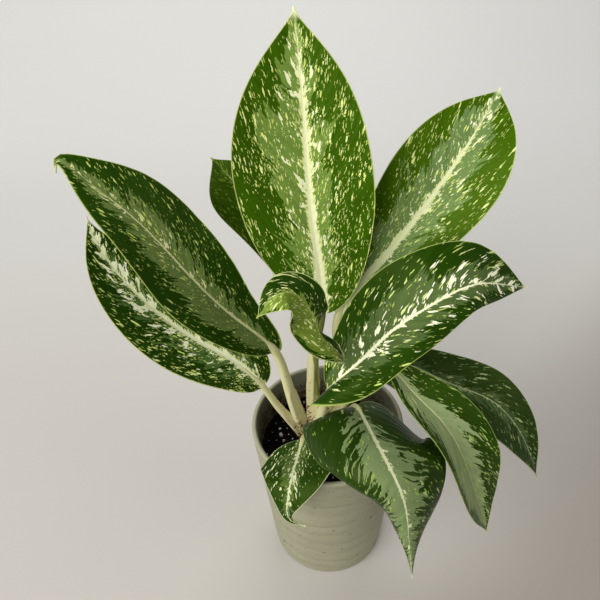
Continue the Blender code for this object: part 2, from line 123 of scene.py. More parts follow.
# Lumps of the soil's top: waves in radians for each metre, their sizes, and how flat they are at the wall
SOIL_WAVES = 46
SOIL_WAVE_TURNS = (90, 620)
SOIL_WAVE_SIZE = 30
SOIL_WAVE_POWER = 0.9
SOIL_LUMP = 0.42 * MM
SOIL_EDGE_SHARE = 0.35
SOIL_EDGE_RISE = 4

# Crumbs and grains: where they lie, and the range of their shapes, turns and sizes
SCATTER_MARGIN = 1.5 * MM
SCATTER_DEPTH = 6 * MM
SCATTER_DENSITY = 9.0e5
LUMP_LEAST = (0.6, 0.7, 0.5)
LUMP_MOST = (1.3, 1.1, 0.9)
LUMP_TURN = (6.28, 6.28, 6.28)
LUMP_BUMPS = (1.3, 2.0)
LUMP_BULK = 0.45
LUMP_SIZE_POWER = 2.5
SMALLEST_CRUMB = 0.5 * MM
SMALLEST_GRAIN = 0.6 * MM
GRAIN_CLEARANCE = 2 * MM
GRAIN_SEED_SHIFT = 5

# Crown of stalks
CROWN_CENTRE = (-11 * MM, 4 * MM)
CANE_RADIUS = 10.5 * MM

# How a stalk tapers and runs on under its blade, with the lengths in mm
STALK_POWER = 1.2
STALK_STEP = 2.0
STALK_RUN_ON = 22.0
STALK_SINK = 0.35
STALK_SINK_SHARE = 0.6
STALK_END_RADIUS = 0.5

# Where the sheath on a stalk's lower part ends, how far its edges stand out, and the groove above it
SHEATH_SPREAD = 0.12
SHEATH_VARIES = 2.3
SHEATH_SLANT = 0.05
SHEATH_FADE = 0.02
SHEATH_EDGE = 0.12
GROOVE_UNSHEATHED = 0.6

# Where round a stalk its groove and its sheath's edges lie, from -1 underneath to 1 on top
GROOVE_OPENS = (0.55, 1.0)
SHEATH_RISES = ((-0.3, 0.3), (0.3, 0.6))
SHEATH_FALLS = (0.65, 0.85)

# Tints on a stalk's cream, its fine lines' waves round it and along it, and where its scars lie
STALK_WARM = (0.86, 0.80, 0.62)
STALK_GREEN = (0.74, 0.80, 0.50)
LINE_WAVES = (26, 3.0)
LINE_SHIFT = 3.7
GREEN_SETS_IN = (0.45, 1.0)
SCARS_END = (0.05, 0.60)
SCARS_AT_FOOT = 0.23
SCAR_LEVEL = (0.66, 0.70)

# Heights between which the olive side, partly painted shade, sets in, and the line x = lean * height +
# shift on its left
OLIVE_START = (150 * MM, 166 * MM)
OLIVE_LEAN = 0.04
OLIVE_SHIFT = -16.2 * MM

# Section and outline of a blade, with the widths of its channel and keel in mm
BLADE_THICKNESS = 0.85 * MM
MARGIN_THINNING = 0.45
CHANNEL_DEPTH = 0.35 * MM
CHANNEL_WIDTH = 1.9
KEEL_DEPTH = 2.2 * MM
KEEL_WIDTH = 2.3
KEEL_POWER = 1.3
NECK_HALF_WIDTH = 3.2 * MM
NECK_SHARE = 0.12
TIP_HALF_WIDTH = 0.5 * MM
CORNER_POWER = 1.2
LOBE_PLACE = 0.1
LOBE_POWER = 3

# Waves of a blade's margin
SWELL_POWER = 0.7
SWELL_SHIFT = 0.25
RIPPLE_WAVES = (5, 8, 13, 19)
RIPPLE_RANGE = (0.4, 1.0)

# Steps along and across a blade, and the angle between faces above which an edge is sharp
PATH_SAMPLES = 300
PATH_NUDGE = 0.001
ROW_POWER = 1.3
COLUMN_POWER = 1.35
CURL_STEPS = 24
SHARP_ANGLE = math.radians(50)

# How far veins drift in mm, that drift's waves for each mm, and what parts the noise of halves and leaves
VEIN_DRIFT = 9.0
VEIN_DRIFT_WAVES = 0.07
HALF_SHIFT = 7.3
LEAF_SHIFT = 2.37

# Tint of the reflections on upper faces, and how a pattern's own colours are varied
LEAF_GLINT = (0.86, 1.0, 0.3)
MARGIN_DARK = 0.65
MARGIN_LIGHT = 1.25
MARGIN_LIFT = 0.002
MIDDLE_DARK = 0.8
MIDDLE_LIGHT = 1.22
RIB_DARK = 0.86
UNDER_SHARE = 0.45
UNDER_PALE = 1.45
UNDER_RIB = 0.8

# Camera
CAMERA_PLACE = (-0.016, -0.276, 0.480)
CAMERA_PITCH = math.radians(39.4)
CAMERA_ROLL = math.radians(-2.5)
CAMERA_LENS = 35.34
CAMERA_SENSOR = 36.0

# Lights: name, place, width, colour, and the setting that holds the power
LIGHT_TARGET = (0, 0, 0.2)
LIGHTS = (
    ("key_light", (-1.25, -1.35, 1.2), 2.0, (1.0, 0.99, 0.965), "key_power"),
    ("fill_light", (1.3, -0.6, 0.9), 1.0, (1.0, 0.97, 0.94), "fill_power"),
    ("top_light", (0.2, 0.9, 1.5), 1.0, (1.0, 1.0, 1.0), "top_power"),
)
ROOM_COLOUR = (0.98, 0.98, 1.0, 1.0)

# Backdrop, and where on it one colour passes into the next, the last being painted shade on the floor
# towards the near right
CURVE_STEPS = 32
CLOUD_GREY = (0.35, 0.33, 0.30)
FLOOR_TO_WALL = (-0.2, 0.9)
TO_NEAR_RIGHT_SHADE = (0.0, 0.28)

# Noise in the finishes: scale, detail and roughness
GLAZE_CLOUDS = (22.0, 3.0, 0.55)
GLAZE_GRAIN = (500.0, 2.0, 0.5)
STAIN_EDGE = (60.0, 4.0, 0.7)
STAIN_PATCHES = (260.0, 4.0, 0.75)
STALK_BLOTCHES = (260.0, 4.0, 0.7)
SOIL_GRAIN = (700.0, 4.0, 0.7)
SOIL_FIBRES = (240.0, 3.0, 0.6)
GRAIN_PORES = (1500.0, 3.0, 0.7)
GRAIN_DIRT = (420.0, 2.0, 0.5)
PAINT_CLOUDS = (3.0, 3.0, 0.5)

SEED = 7


def display(red, green, blue):
    """A linear colour from the 0 to 255 numbers that a screen shows."""
    def linear(part):
        part = part / 255
        return part / 12.92 if part <= 0.04045 else ((part + 0.055) / 1.055) ** 2.4

    return (linear(red), linear(green), linear(blue))


def scaled(colour, factor, lift=0.0):
    """A colour made lighter or darker by a factor, and no brighter than white."""
    return [min(1.0, part * factor + lift) for part in colour]


def between(first, second, share=0.5):
    """The colour that lies this share of the way from the first to the second."""
    return [a + (b - a) * share for a, b in zip(first, second)]


def tinted(colour, tint):
    """A colour with each of its three parts made weaker by its own factor."""
    return [a * b for a, b in zip(colour, tint)]


class Leaf(NamedTuple):
    """One leaf: its stalk and its blade. Left and right are as seen with the tip up and its face in view.

    stalk      points that the stalk passes through, foot first, in mm; it ends at the blade
    midrib     points that the blade's middle passes through, base first, in mm
    face       directions in which the upper face looks, at the base, the middle and the tip
    width      left and right half widths in mm
    peak       how far along the blade each half is widest, from 0 to 1
    cup        rise of each half in degrees where it leaves the midrib, at even steps from base to tip
    curl       further rise in degrees that each half gathers towards its margin, in the same way
    lobe       how far each half sweeps back behind the blade's base, in mm
    wave       height in mm, number of waves and phase of the waved margin
    taper      how late the outline draws in to the tip, a larger number being later
    roundness  how full the outline of each half is, a smaller number being fuller
    corner     how far each half's outline is drawn out to a corner where it is widest, from 0 to 1
    onset      how soon each half's lobe sets in, a smaller number being sooner
    radius     the stalk's radius at its foot and at the blade, in mm
    """

    name: str
    stalk: tuple
    midrib: tuple
    face: tuple
    width: tuple
    peak: tuple
    cup: tuple = ((12,), (12,))
    curl: tuple = ((4,), (4,))
    lobe: tuple = (0, 0)
    wave: tuple = (1.0, 2.0, 0.0)
    taper: float = 12
    roundness: tuple = (0.6, 0.6)
    corner: tuple = (0, 0)
    onset: tuple = (0.6, 0.6)
    radius: tuple = (4.6, 2.6)


LEAVES = (
    Leaf(
        name="leaf_top",
        stalk=((-11, 5, 111), (-10, 6, 155), (-8, 7, 204)),
        midrib=((-3, 8, 235), (-7, 11, 303), (-10, 17, 364), (-13, 26, 411)),
        face=((0, -9, 3), (0, -9, 3), (0, -9, 2)),
        width=(41, 36), peak=(0.56, 0.48), curl=((6,), (6,)), wave=(1.5, 2.0, 0.0), radius=(5.0, 3.2),
    ),
    Leaf(
        name="leaf_upper_right",
        stalk=((-9, 7, 110), (4, 11, 152), (9, 12, 192)),
        midrib=((8, 12, 227), (30, 18, 260), (61, 28, 299), (90, 42, 341), (104, 58, 356)),
        face=((-2, -8, 5), (-2, -8, 5), (-2, -8, 6)),
        width=(32, 32), peak=(0.62, 0.67), cup=((10,), (10,)), curl=((6,), (6,)), lobe=(2, 6),
        wave=(1.5, 2.0, 0.3),
    ),
    Leaf(
        name="leaf_upper_left",
        stalk=((-12, 8, 112), (-9, 12, 150), (-9, 19, 195), (-22, 26, 235)),
        midrib=((-29, 28, 249), (-38, 36, 276), (-50, 47, 304), (-67, 62, 319)),
        face=((2, -8, 4), (2, -8, 4), (2, -8, 5)),
        width=(20, 22), peak=(0.72, 0.55), cup=((8,), (8,)), curl=((6,), (6,)), taper=7,
        radius=(4.0, 2.4),
    ),
    Leaf(
        name="leaf_left",
        stalk=((-13, 3, 109), (-22, 1, 150), (-28, -3, 190)),
        midrib=((-34, -6, 218), (-53, -10, 247), (-75, -14, 283), (-98, -15, 323), (-119, -13, 347),
                (-130, -11, 355), (-133, -10, 349)),
        face=((2, -5, 7), (2, -5, 8), (1, -5, 9)),
        width=(24, 26), peak=(0.45, 0.62), cup=((8,), (8,)), curl=((0,), (0,)), lobe=(0, 11),
        wave=(2.4, 2.2, 0.1), taper=8, roundness=(0.6, 0.45), onset=(0.6, 0.4), radius=(5.6, 2.8),
    ),
    Leaf(
        name="leaf_lower_left",
        stalk=((-14, 2, 111), (-24, 0, 136), (-36, -3, 163)),
        midrib=((-44, -4, 183), (-60, -3, 206), (-87, 0, 228), (-113, 5, 257), (-130, 12, 284),
                (-137, 20, 306)),
        face=((2, -5, 7), (2, -5, 7), (2, -5, 8)),
        width=(27, 28), peak=(0.45, 0.45), cup=((12,), (0,)), curl=((0,), (0,)), lobe=(0, 6),
        wave=(1.2, 2.0, 0.6), taper=9, radius=(4.4, 2.2),
    ),
    Leaf(
        name="leaf_right",
        stalk=((-10, 1, 112), (-5, -5, 150), (-2, -11, 172)),
        midrib=((1, -15, 187), (20, -20, 219), (37, -24, 247), (56, -26, 266), (78, -22, 276),
                (101, -12, 268), (120, -2, 257)),
        face=((-2, -5, 7), (-2, -5, 7), (-1, -5, 8)),
        width=(32, 22), peak=(0.5, 0.45), cup=((10,), (95, 5, -20, -20)),
        curl=((0,), (0, -30, -40, -40)), lobe=(0, 24), wave=(1.5, 2.5, 0.2),
    ),
    Leaf(
        name="leaf_young",
        stalk=((-11, 5, 110), (-10, 6, 150), (-8, 6, 190), (-5, -3, 218), (1, -23, 227)),
        midrib=((6, -31, 233), (3, -35, 243), (-5, -38, 258), (-13, -42, 285), (-24, -47, 297),
                (-38, -54, 287)),
        face=((3, -2, 4), (0, -4, 5), (-1, -4, 5)),
        width=(15, 12), peak=(0.58, 0.64), cup=((25, 0, 10, 10, 10), (30, 0, -60, -20, 10, 10, 10)),
        curl=((0,), (0,)), lobe=(4, 8), wave=(0.0, 1.5, 0.0), radius=(3.2, 1.9),
    ),
    Leaf(
        name="leaf_lower_right",
        stalk=((-9, 2, 109), (8, -1, 150), (24, -5, 186)),
        midrib=((37, -8, 201), (53, -22, 192), (69, -38, 182), (90, -52, 142), (110, -60, 80)),
        face=((-1, -4, 8), (1, -5, 7), (3, -6, 5)),
        width=(25, 26), peak=(0.5, 0.5), cup=((10,), (45, 45, 30)), curl=((0,), (0,)),
        wave=(1.2, 2.0, 0.4), taper=6,
    ),
    Leaf(
        name="leaf_far_right",
        stalk=((-8, 5, 111), (10, 6, 145), (27, 6, 172)),
        midrib=((42, 6, 188), (84, -4, 177), (112, -10, 165), (134, -20, 141), (151, -30, 101)),
        face=((0, -4, 8), (2, -5, 7), (4, -5, 5)),
        width=(21, 26), peak=(0.42, 0.35), cup=((10,), (10,)), curl=((0,), (0,)), lobe=(0, 10),
        wave=(1.2, 2.0, 0.8), taper=7,
    ),
    Leaf(
        name="leaf_front",
        stalk=((-10, 0, 110), (2, -10, 141), (12, -22, 168)),
        midrib=((16, -28, 185), (22, -50, 192), (28, -72, 194), (36, -88, 183), (42, -95, 152),
                (48, -99, 101)),
        face=((-1, -4, 8), (0, -6, 7), (0, -8, 5)),
        width=(52, 44), peak=(0.45, 0.24), cup=((-25, -20, -15, -20), (52, 18, -8, -20)),
        curl=((-20, -45, -35, -80), (-95, -85, -90)), lobe=(14, 15), wave=(1.0, 2.0, 0.5), taper=1.7,
        roundness=(0.8, 0.6), corner=(0.5, 0), onset=(0.6, 0.2),
    ),
    Leaf(
        name="leaf_front_small",
        stalk=((-12, 1, 112), (-15, -7, 126), (-17, -14, 139)),
        midrib=((-18, -20, 145), (-23, -38, 145), (-27, -53, 144), (-30, -62, 134), (-28, -66, 118),
                (-19, -68, 114)),
        face=((-3.5, -4, 8), (-3, -6, 7), (-1, -8, 5)),
        width=(31, 24), peak=(0.3, 0.38), cup=((4,), (5,)), curl=((0,), (0,)), wave=(0.8, 2.0, 0.0),
        taper=1.0, roundness=(1.6, 1.3), corner=(0.3, 0.4), radius=(3.2, 2.0),
    ),
    Leaf(
        name="leaf_back_right",
        stalk=((-8, 9, 109), (6, 16, 155), (12, 20, 200)),
        midrib=((14, 22, 218), (33, 42, 226), (62, 61, 236), (102, 80, 242)),
        face=((0, -4, 8), (0, -4, 8), (0, -4, 8)),
        width=(26, 26), peak=(0.5, 0.5), cup=((10,), (10,)), wave=(1.2, 2.0, 0.2), radius=(4.2, 2.4),
    ),
)


class Pattern(NamedTuple):
    """How one blade is coloured. A share runs from the midrib, 0, to the margin, 1.

    margin    colour of the outer zone
    middle    colour of the zone along the midrib
    fleck     colour of the small marks
    rib       colour of the midrib and of the splashes beside it
    spread    share of each half that the middle zone takes
    start     share of that width which the middle zone has at the base
    narrow    how much the middle zone narrows from base to tip
    feather   how deep the spikes along the middle zone's border are
    lobes     how far the middle zone's border swings in and out
    flecks    share of the places for a fleck that hold one, at the midrib and at the margin
    tipward   how much that share grows to the tip
    splashes  how far large pale splashes reach out from the midrib, as a share
    splatter  how thickly those splashes lie, from 0 to 1
    rib_width half width of the pale midrib at its foot in mm
    fringe    how far the midrib's edge breaks up into specks, from 0 to 1
    rib_end   place along the blade where the pale midrib fades out
    lean      how the veins lean: slope at the midrib, its growth to the tip and its growth to the margin
    mark_size size of all marks, and how much longer they are along the veins, against the tallest blade's
    gloss     roughness of the upper face
    shine     strength of the reflections on the upper face
    """

    margin: tuple
    middle: tuple
    fleck: tuple = display(206, 214, 120)
    rib: tuple = display(226, 228, 176)
    spread: tuple = (0.5, 0.5)
    start: float = 1.0
    narrow: float = 0.45
    feather: float = 0.5
    lobes: float = 0.35
    flecks: tuple = (0.3, 0.5)
    tipward: float = 0.0
    splashes: float = 0.1
    splatter: float = 0.5
    rib_width: float = 2.4
    fringe: float = 0.5
    rib_end: float = 1.0
    lean: tuple = (0.8, 0.6, 0.6)
    mark_size: tuple = (1.0, 1.0)
    gloss: float = 0.36
    shine: float = 0.2


PATTERNS = {
    "leaf_top": Pattern(
        margin=display(54, 90, 1), middle=display(110, 138, 60), fleck=display(230, 240, 140),
        rib=display(236, 240, 190), spread=(0.54, 0.46), feather=0.32, lobes=0.7, flecks=(0.44, 0.24),
        splashes=0.3, splatter=0.6, rib_width=3.3, fringe=0.9, lean=(1.0, 0.2, 0.35), shine=0.1,
    ),
    "leaf_upper_right": Pattern(
        margin=display(64, 98, 1), middle=display(108, 134, 76), fleck=display(226, 238, 140),
        rib=display(236, 240, 190), spread=(0.56, 0.5), narrow=0.15, feather=0.32, lobes=0.6,
        flecks=(0.3, 0.2), splashes=0.3, splatter=0.55, rib_width=2.8, fringe=0.8,
        lean=(1.0, 0.2, 0.35), shine=0.1,
    ),
    "leaf_upper_left": Pattern(
        margin=display(44, 70, 2), middle=display(96, 112, 50), fleck=display(120, 140, 40),
        rib=display(160, 162, 90), spread=(0.12, 0.12), flecks=(0.2, 0.3), splashes=0.03, splatter=0.2,
        rib_width=1.1, fringe=0.1, lean=(1.0, 0.2, 0.35), mark_size=(0.7, 1.3), shine=0.1,
    ),
    "leaf_left": Pattern(
        margin=display(30, 62, 1), middle=display(100, 120, 62), fleck=display(200, 216, 110),
        rib=display(214, 216, 160), spread=(0.5, 0.4), feather=0.42, lobes=0.3, flecks=(0.2, 0.14),
        splashes=0.2, splatter=0.4, rib_width=0.95, fringe=0.2, lean=(1.2, 0.2, 0.4),
        mark_size=(0.75, 1.1), gloss=0.32, shine=0.12,
    ),
    "leaf_lower_left": Pattern(
        margin=display(30, 60, 1), middle=display(74, 102, 48), fleck=display(222, 236, 130),
        rib=display(244, 246, 206), spread=(0.42, 0.42), feather=0.7, lobes=0.6, flecks=(0.5, 0.36),
        splashes=0.5, splatter=0.8, rib_width=1.9, fringe=0.9, lean=(0.8, 0.3, 0.4),
        mark_size=(0.9, 1.4), gloss=0.34, shine=0.1,
    ),
    "leaf_right": Pattern(
        margin=display(32, 62, 1), middle=display(78, 98, 52), fleck=display(206, 224, 120),
        rib=display(250, 250, 216), spread=(0.6, 0.5), feather=0.4, flecks=(0.12, 0.18), splashes=0.5,
        splatter=0.6, rib_width=1.3, fringe=0.5, lean=(1.0, 0.4, 0.3), mark_size=(0.9, 2.2), gloss=0.32,
        shine=0.1,
    ),
    "leaf_young": Pattern(
        margin=display(30, 62, 1), middle=display(114, 138, 48), fleck=display(236, 244, 168),
        rib=display(150, 170, 80), spread=(0.98, 0.1), narrow=0.1, flecks=(0.4, 0.1), splashes=0.1,
        rib_width=0.35, fringe=0.4, mark_size=(1.0, 1.2), gloss=0.32, shine=0.1,
    ),
    "leaf_lower_right": Pattern(
        margin=display(38, 64, 6), middle=display(140, 156, 108), fleck=display(160, 184, 96),
        rib=display(206, 212, 156), spread=(0.42, 0.82), start=0.6, feather=0.4, flecks=(0.1, 0.16),
        tipward=0.6, splashes=0.03, rib_width=0.75, fringe=0.25, lean=(1.2, 0.3, 0.3),
        mark_size=(0.9, 2.0), gloss=0.3, shine=0.15,
    ),
    "leaf_far_right": Pattern(
        margin=display(33, 56, 12), middle=display(66, 86, 48), fleck=display(150, 168, 110),
        rib=display(176, 186, 130), spread=(0.28, 0.3), feather=0.4, flecks=(0.12, 0.1), tipward=0.2,
        splashes=0.06, rib_width=0.65, fringe=0.25, lean=(1.2, 0.3, 0.3), mark_size=(0.8, 2.0),
        gloss=0.3, shine=0.15,
    ),
    "leaf_front": Pattern(
        margin=display(32, 56, 4), middle=display(114, 132, 86), fleck=display(150, 180, 80),
        rib=display(216, 218, 176), spread=(0.36, 0.46), start=0.25, feather=0.6, lobes=0.25,
        flecks=(0.06, 0.06), tipward=0.6, splashes=0.1, splatter=0.5, rib_width=1.3, fringe=0.35,
        rib_end=0.72, lean=(0.3, 0.8, 0.3), mark_size=(1.0, 1.7), gloss=0.3, shine=0.15,
    ),
    "leaf_front_small": Pattern(
        margin=display(36, 64, 4), middle=display(80, 102, 44), fleck=display(240, 246, 190),
        rib=display(216, 220, 180), spread=(0.3, 0.3), flecks=(0.18, 0.16), splashes=0.3, splatter=0.5,
        rib_width=1.0, fringe=0.4, lean=(0.5, 0.8, 0.4), mark_size=(0.75, 1.4), shine=0.12,
    ),
    "leaf_back_right": Pattern(
        margin=display(40, 70, 14), middle=display(90, 114, 60), spread=(0.4, 0.4), fringe=0.3,
    ),
}


# Node trees

class Value:
    """What a node gives out. Python's operators on it add Math nodes to its tree."""

    def __init__(self, tree, socket):
        self.tree = tree
        self.socket = socket

    def __add__(self, other):
        return self.tree.maths("ADD", self, other)

    def __radd__(self, other):
        return self.tree.maths("ADD", other, self)

    def __sub__(self, other):
        return self.tree.maths("SUBTRACT", self, other)

    def __rsub__(self, other):
        return self.tree.maths("SUBTRACT", other, self)

    def __mul__(self, other):
        return self.tree.maths("MULTIPLY", self, other)

    def __rmul__(self, other):
        return self.tree.maths("MULTIPLY", other, self)

    def __truediv__(self, other):
        return self.tree.maths("DIVIDE", self, other)

    def __pow__(self, other):
        return self.tree.maths("POWER", self, other)

    def __abs__(self):
        return self.tree.maths("ABSOLUTE", self)


class NodeTree:
    """A node tree that is written as expressions."""

    def __init__(self, tree):
        self.tree = tree

    def node(self, kind, settings=None, sockets=None, output=0):
        """Add a node, set its settings, feed its sockets by name or number, and return one output."""
        made = self.tree.nodes.new(kind)
        for name, setting in (settings or {}).items():
            setattr(made, name, setting)
        for name, value in (sockets or {}).items():
            socket = made.inputs[name]
            if isinstance(value, Value):
                self.tree.links.new(value.socket, socket)
            else:
                socket.default_value = value
        return Value(self, made.outputs[output])

    def maths(self, operation, *values):
        return self.node("ShaderNodeMath", {"operation": operation}, dict(enumerate(values)))

    def step(self, value, low, high):
        """A smooth rise from 0 to 1 as the value goes from low to high."""
        settings = {"interpolation_type": "SMOOTHSTEP"}
        sockets = {"Value": value, "From Min": low, "From Max": high}
        return self.node("ShaderNodeMapRange", settings, sockets)

    def combine(self, x, y, z):
        return self.node("ShaderNodeCombineXYZ", {}, {"X": x, "Y": y, "Z": z})

    def split(self, vector):
        kind = "ShaderNodeSeparateXYZ"
        return [self.node(kind, {}, {"Vector": vector}, output) for output in range(3)]

    def noise(self, vector, scale=1.0, detail=2.0, roughness=0.5):
        sockets = {"Vector": vector, "Scale": scale, "Detail": detail, "Roughness": roughness}
        return self.node("ShaderNodeTexNoise", {}, sockets, "Fac")


class Finish(NodeTree):
    """A procedural material."""

    def __init__(self, name):
        self.material = bpy.data.materials.new(name)
        self.material.use_nodes = True
        super().__init__(self.material.node_tree)
        self.shader = self.tree.nodes["Principled BSDF"]

    def set(self, **values):
        """Feed the main shader's sockets, whose names are written with underscores."""
        for name, value in values.items():
            socket = self.shader.inputs[name.replace("_", " ")]
            if isinstance(value, Value):
                self.tree.links.new(value.socket, socket)
            elif socket.type == "RGBA":
                socket.default_value = (*value, 1.0)
            else:
                socket.default_value = value

    def mix(self, factor, first, second):
        """Mix two colours, each a tuple or a node's output."""
        first, second = (part if isinstance(part, Value) else (*part, 1.0) for part in (first, second))
        return self.node("ShaderNodeMix", {"data_type": "RGBA"}, {0: factor, 6: first, 7: second}, 2)

    def attribute(self, name, output="Vector"):
        return self.node("ShaderNodeAttribute", {"attribute_name": name}, {}, output)

    def cells(self, vector, scale=1.0, dimensions="3D"):
        """Distance to the nearest of many scattered points, and that point's own three random numbers."""
        settings = {"voronoi_dimensions": dimensions}
        sockets = {"Vector": vector, "Scale": scale}
        near = self.node("ShaderNodeTexVoronoi", settings, sockets, "Distance")
        return near, self.split(Value(self, near.socket.node.outputs["Color"]))

    def object_place(self):
        return self.node("ShaderNodeTexCoord", {}, {}, "Object")

    def bump(self, height, strength, distance):
        sockets = {"Height": height, "Strength": strength, "Distance": distance}
        return self.node("ShaderNodeBump", {}, sockets)


class Shaping(NodeTree):
    """A geometry node tree with named inputs, which ends in Realize Instances and Set Material."""

    def __init__(self, name, inputs):
        super().__init__(bpy.data.node_groups.new(name, "GeometryNodeTree"))
        self.sockets = {}
        self.tree.interface.new_socket("Geometry", in_out="INPUT", socket_type="NodeSocketGeometry")
        for label, kind in inputs.items():
            self.sockets[label] = self.tree.interface.new_socket(label, in_out="INPUT", socket_type=kind)
        self.tree.interface.new_socket("Geometry", in_out="OUTPUT", socket_type="NodeSocketGeometry")
        self.start = self.tree.nodes.new("NodeGroupInput")

    def given(self, label):
        return Value(self, self.start.outputs[label])

    def named(self, name, kind="FLOAT"):
        return self.node("GeometryNodeInputNamedAttribute", {"data_type": kind}, {"Name": name})

    def store(self, geometry, name, value):
        sockets = {"Geometry": geometry, "Name": name, "Value": value}
        return self.node("GeometryNodeStoreNamedAttribute", {"data_type": "FLOAT"}, sockets)

    def end(self, geometry):
        smooth = self.node("GeometryNodeSetShadeSmooth", {}, {"Geometry": geometry})
        real = self.node("GeometryNodeRealizeInstances", {}, {"Geometry": smooth})
        sockets = {"Geometry": real, "Material": self.given("Material")}
        done = self.node("GeometryNodeSetMaterial", {}, sockets)
        last = self.tree.nodes.new("NodeGroupOutput")
        self.tree.links.new(done.socket, last.inputs[0])

    def applied_to(self, obj, **values):
        """Run the tree on an object with these inputs and leave the result as the object's plain mesh."""
        modifier = obj.modifiers.new(self.tree.name, "NODES")
        modifier.node_group = self.tree
        for label, value in values.items():
            modifier[self.sockets[label.replace("_", " ")].identifier] = value
        graph = bpy.context.evaluated_depsgraph_get()
        mesh = bpy.data.meshes.new_from_object(obj.evaluated_get(graph), depsgraph=graph).copy()
        obj.modifiers.clear()
        obj.data = mesh
        mesh.name = obj.name
        return obj


# Meshes and objects

def add_object(name, data):
    obj = bpy.data.objects.new(name, data)
    bpy.context.scene.collection.objects.link(obj)
    return obj


def mesh_from(name, points, faces, edges=()):
    mesh = bpy.data.meshes.new(name)
    mesh.from_pydata([tuple(point) for point in points], list(edges), faces)
    mesh.update()
    return mesh


def add_numbers(mesh, name, values):
    attribute = mesh.attributes.new(name, "FLOAT", "POINT")
    attribute.data.foreach_set("value", np.asarray(values, np.float32).ravel())


def add_vectors(mesh, name, values):
    attribute = mesh.attributes.new(name, "FLOAT_VECTOR", "POINT")
    attribute.data.foreach_set("vector", np.asarray(values, np.float32).ravel())


def turn_outwards(mesh):
    work = bmesh.new()
    work.from_mesh(mesh)
    bmesh.ops.remove_doubles(work, verts=work.verts, dist=MERGE_DISTANCE)
    bmesh.ops.recalc_face_normals(work, faces=work.faces)
    work.to_mesh(mesh)
    work.free()


def dress(obj, slot, *nodes):
    """Let a finished piece ride on the planter and hide the solid nodes that it stands for."""
    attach(obj, BODY)
    if nodes:
        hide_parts(*nodes)


# Smooth curves and rates of change along a leaf

def natural_spline(points):
    """A function of place, from 0 to 1, along a natural cubic spline, and the places of its points."""
    knots = np.array(points, float)
    count = len(knots)
    chord = np.concatenate([[0], np.cumsum(np.linalg.norm(np.diff(knots, axis=0), axis=1))])
    place = chord / chord[-1]
    system = np.eye(count)
    right_side = np.zeros((count, 3))
    for i in range(1, count - 1):
        before = place[i] - place[i - 1]
        after = place[i + 1] - place[i]
        system[i, i - 1:i + 2] = (before, 2 * (before + after), after)
        right_side[i] = 6 * ((knots[i + 1] - knots[i]) / after - (knots[i] - knots[i - 1]) / before)
    bend = np.linalg.solve(system, right_side)

    def position(where):
        span = np.clip(np.searchsorted(place, where, side="right") - 1, 0, count - 2)
        step = (place[span + 1] - place[span])[:, None]
        near = (place[span + 1] - where)[:, None] / step
        far = 1 - near
        curve = (near ** 3 - near) * bend[span] + (far ** 3 - far) * bend[span + 1]
        return near * knots[span] + far * knots[span + 1] + curve * step ** 2 / 6

    return position, place


def leaf_path(leaf, part, at):
    """Positions and directions at fractions of the length of a leaf's stalk or blade, and that length.

    One smooth curve runs through the stalk and the midrib, so that the blade carries on from the stalk.
    """
    position, place = natural_spline(leaf.stalk + leaf.midrib)
    joint = place[len(leaf.stalk)]
    first, last = {"stalk": (0, joint), "blade": (joint, 1)}[part]
    fine = np.linspace(first, last, PATH_SAMPLES)
    travelled = np.concatenate([[0], np.cumsum(np.linalg.norm(np.diff(position(fine), axis=0), axis=1))])
    length = travelled[-1]
    where = np.interp(at * length, travelled, fine)
    before, after = np.clip(where - PATH_NUDGE, 0, 1), np.clip(where + PATH_NUDGE, 0, 1)
    along = position(after) - position(before)
    return position(where) * MM, along / np.linalg.norm(along, axis=1)[:, None], length * MM


def eased(stations, at):
    """Values at fractions of the length, easing from one evenly spaced station to the next."""
    stations = np.array(stations, float)
    if len(stations) == 1:
        return np.repeat(stations, len(at), axis=0)
    last = len(stations) - 1
    span = np.clip((at * last).astype(int), 0, last - 1)
    part = at * last - span
    part = part * part * (3 - 2 * part)
    if stations.ndim == 2:
        part = part[:, None]
    return stations[span] + (stations[span + 1] - stations[span]) * part


def outline(leaf, side, at):
    """Half width of a blade in metres at fractions of its length."""
    shift = math.log(0.5) / math.log(leaf.peak[side])

    def fullness(where):
        return np.sin(np.pi * where ** shift) ** leaf.roundness[side] * (1 - where ** leaf.taper)

    full = np.clip(np.nan_to_num(fullness(at)), 0, None) / fullness(np.linspace(0.01, 0.99, 99)).max()
    pointed = np.minimum(at / leaf.peak[side], (1 - at) / (1 - leaf.peak[side])) ** CORNER_POWER
    full += leaf.corner[side] * (pointed - full)
    neck = NECK_HALF_WIDTH * np.clip(1 - at / NECK_SHARE, 0, 1)
    return np.maximum(leaf.width[side] * MM * full, np.maximum(neck, TIP_HALF_WIDTH))


def smooth_steps(value):
    value = np.clip(value, 0, 1)
    return value * value * (3 - 2 * value)


# Blades

def blade_frames(leaf, at):
    """Frames along the midrib: positions, directions, sideways and upward unit vectors, and the length."""
    middle, along, length = leaf_path(leaf, "blade", at)
    facing = np.array([np.array(way, float) / np.linalg.norm(way) for way in leaf.face])
    up = eased(facing, at)
    up = up - (up * along).sum(axis=1)[:, None] * along
    up = up / np.linalg.norm(up, axis=1)[:, None]
    return middle, along, np.cross(along, up), up, length


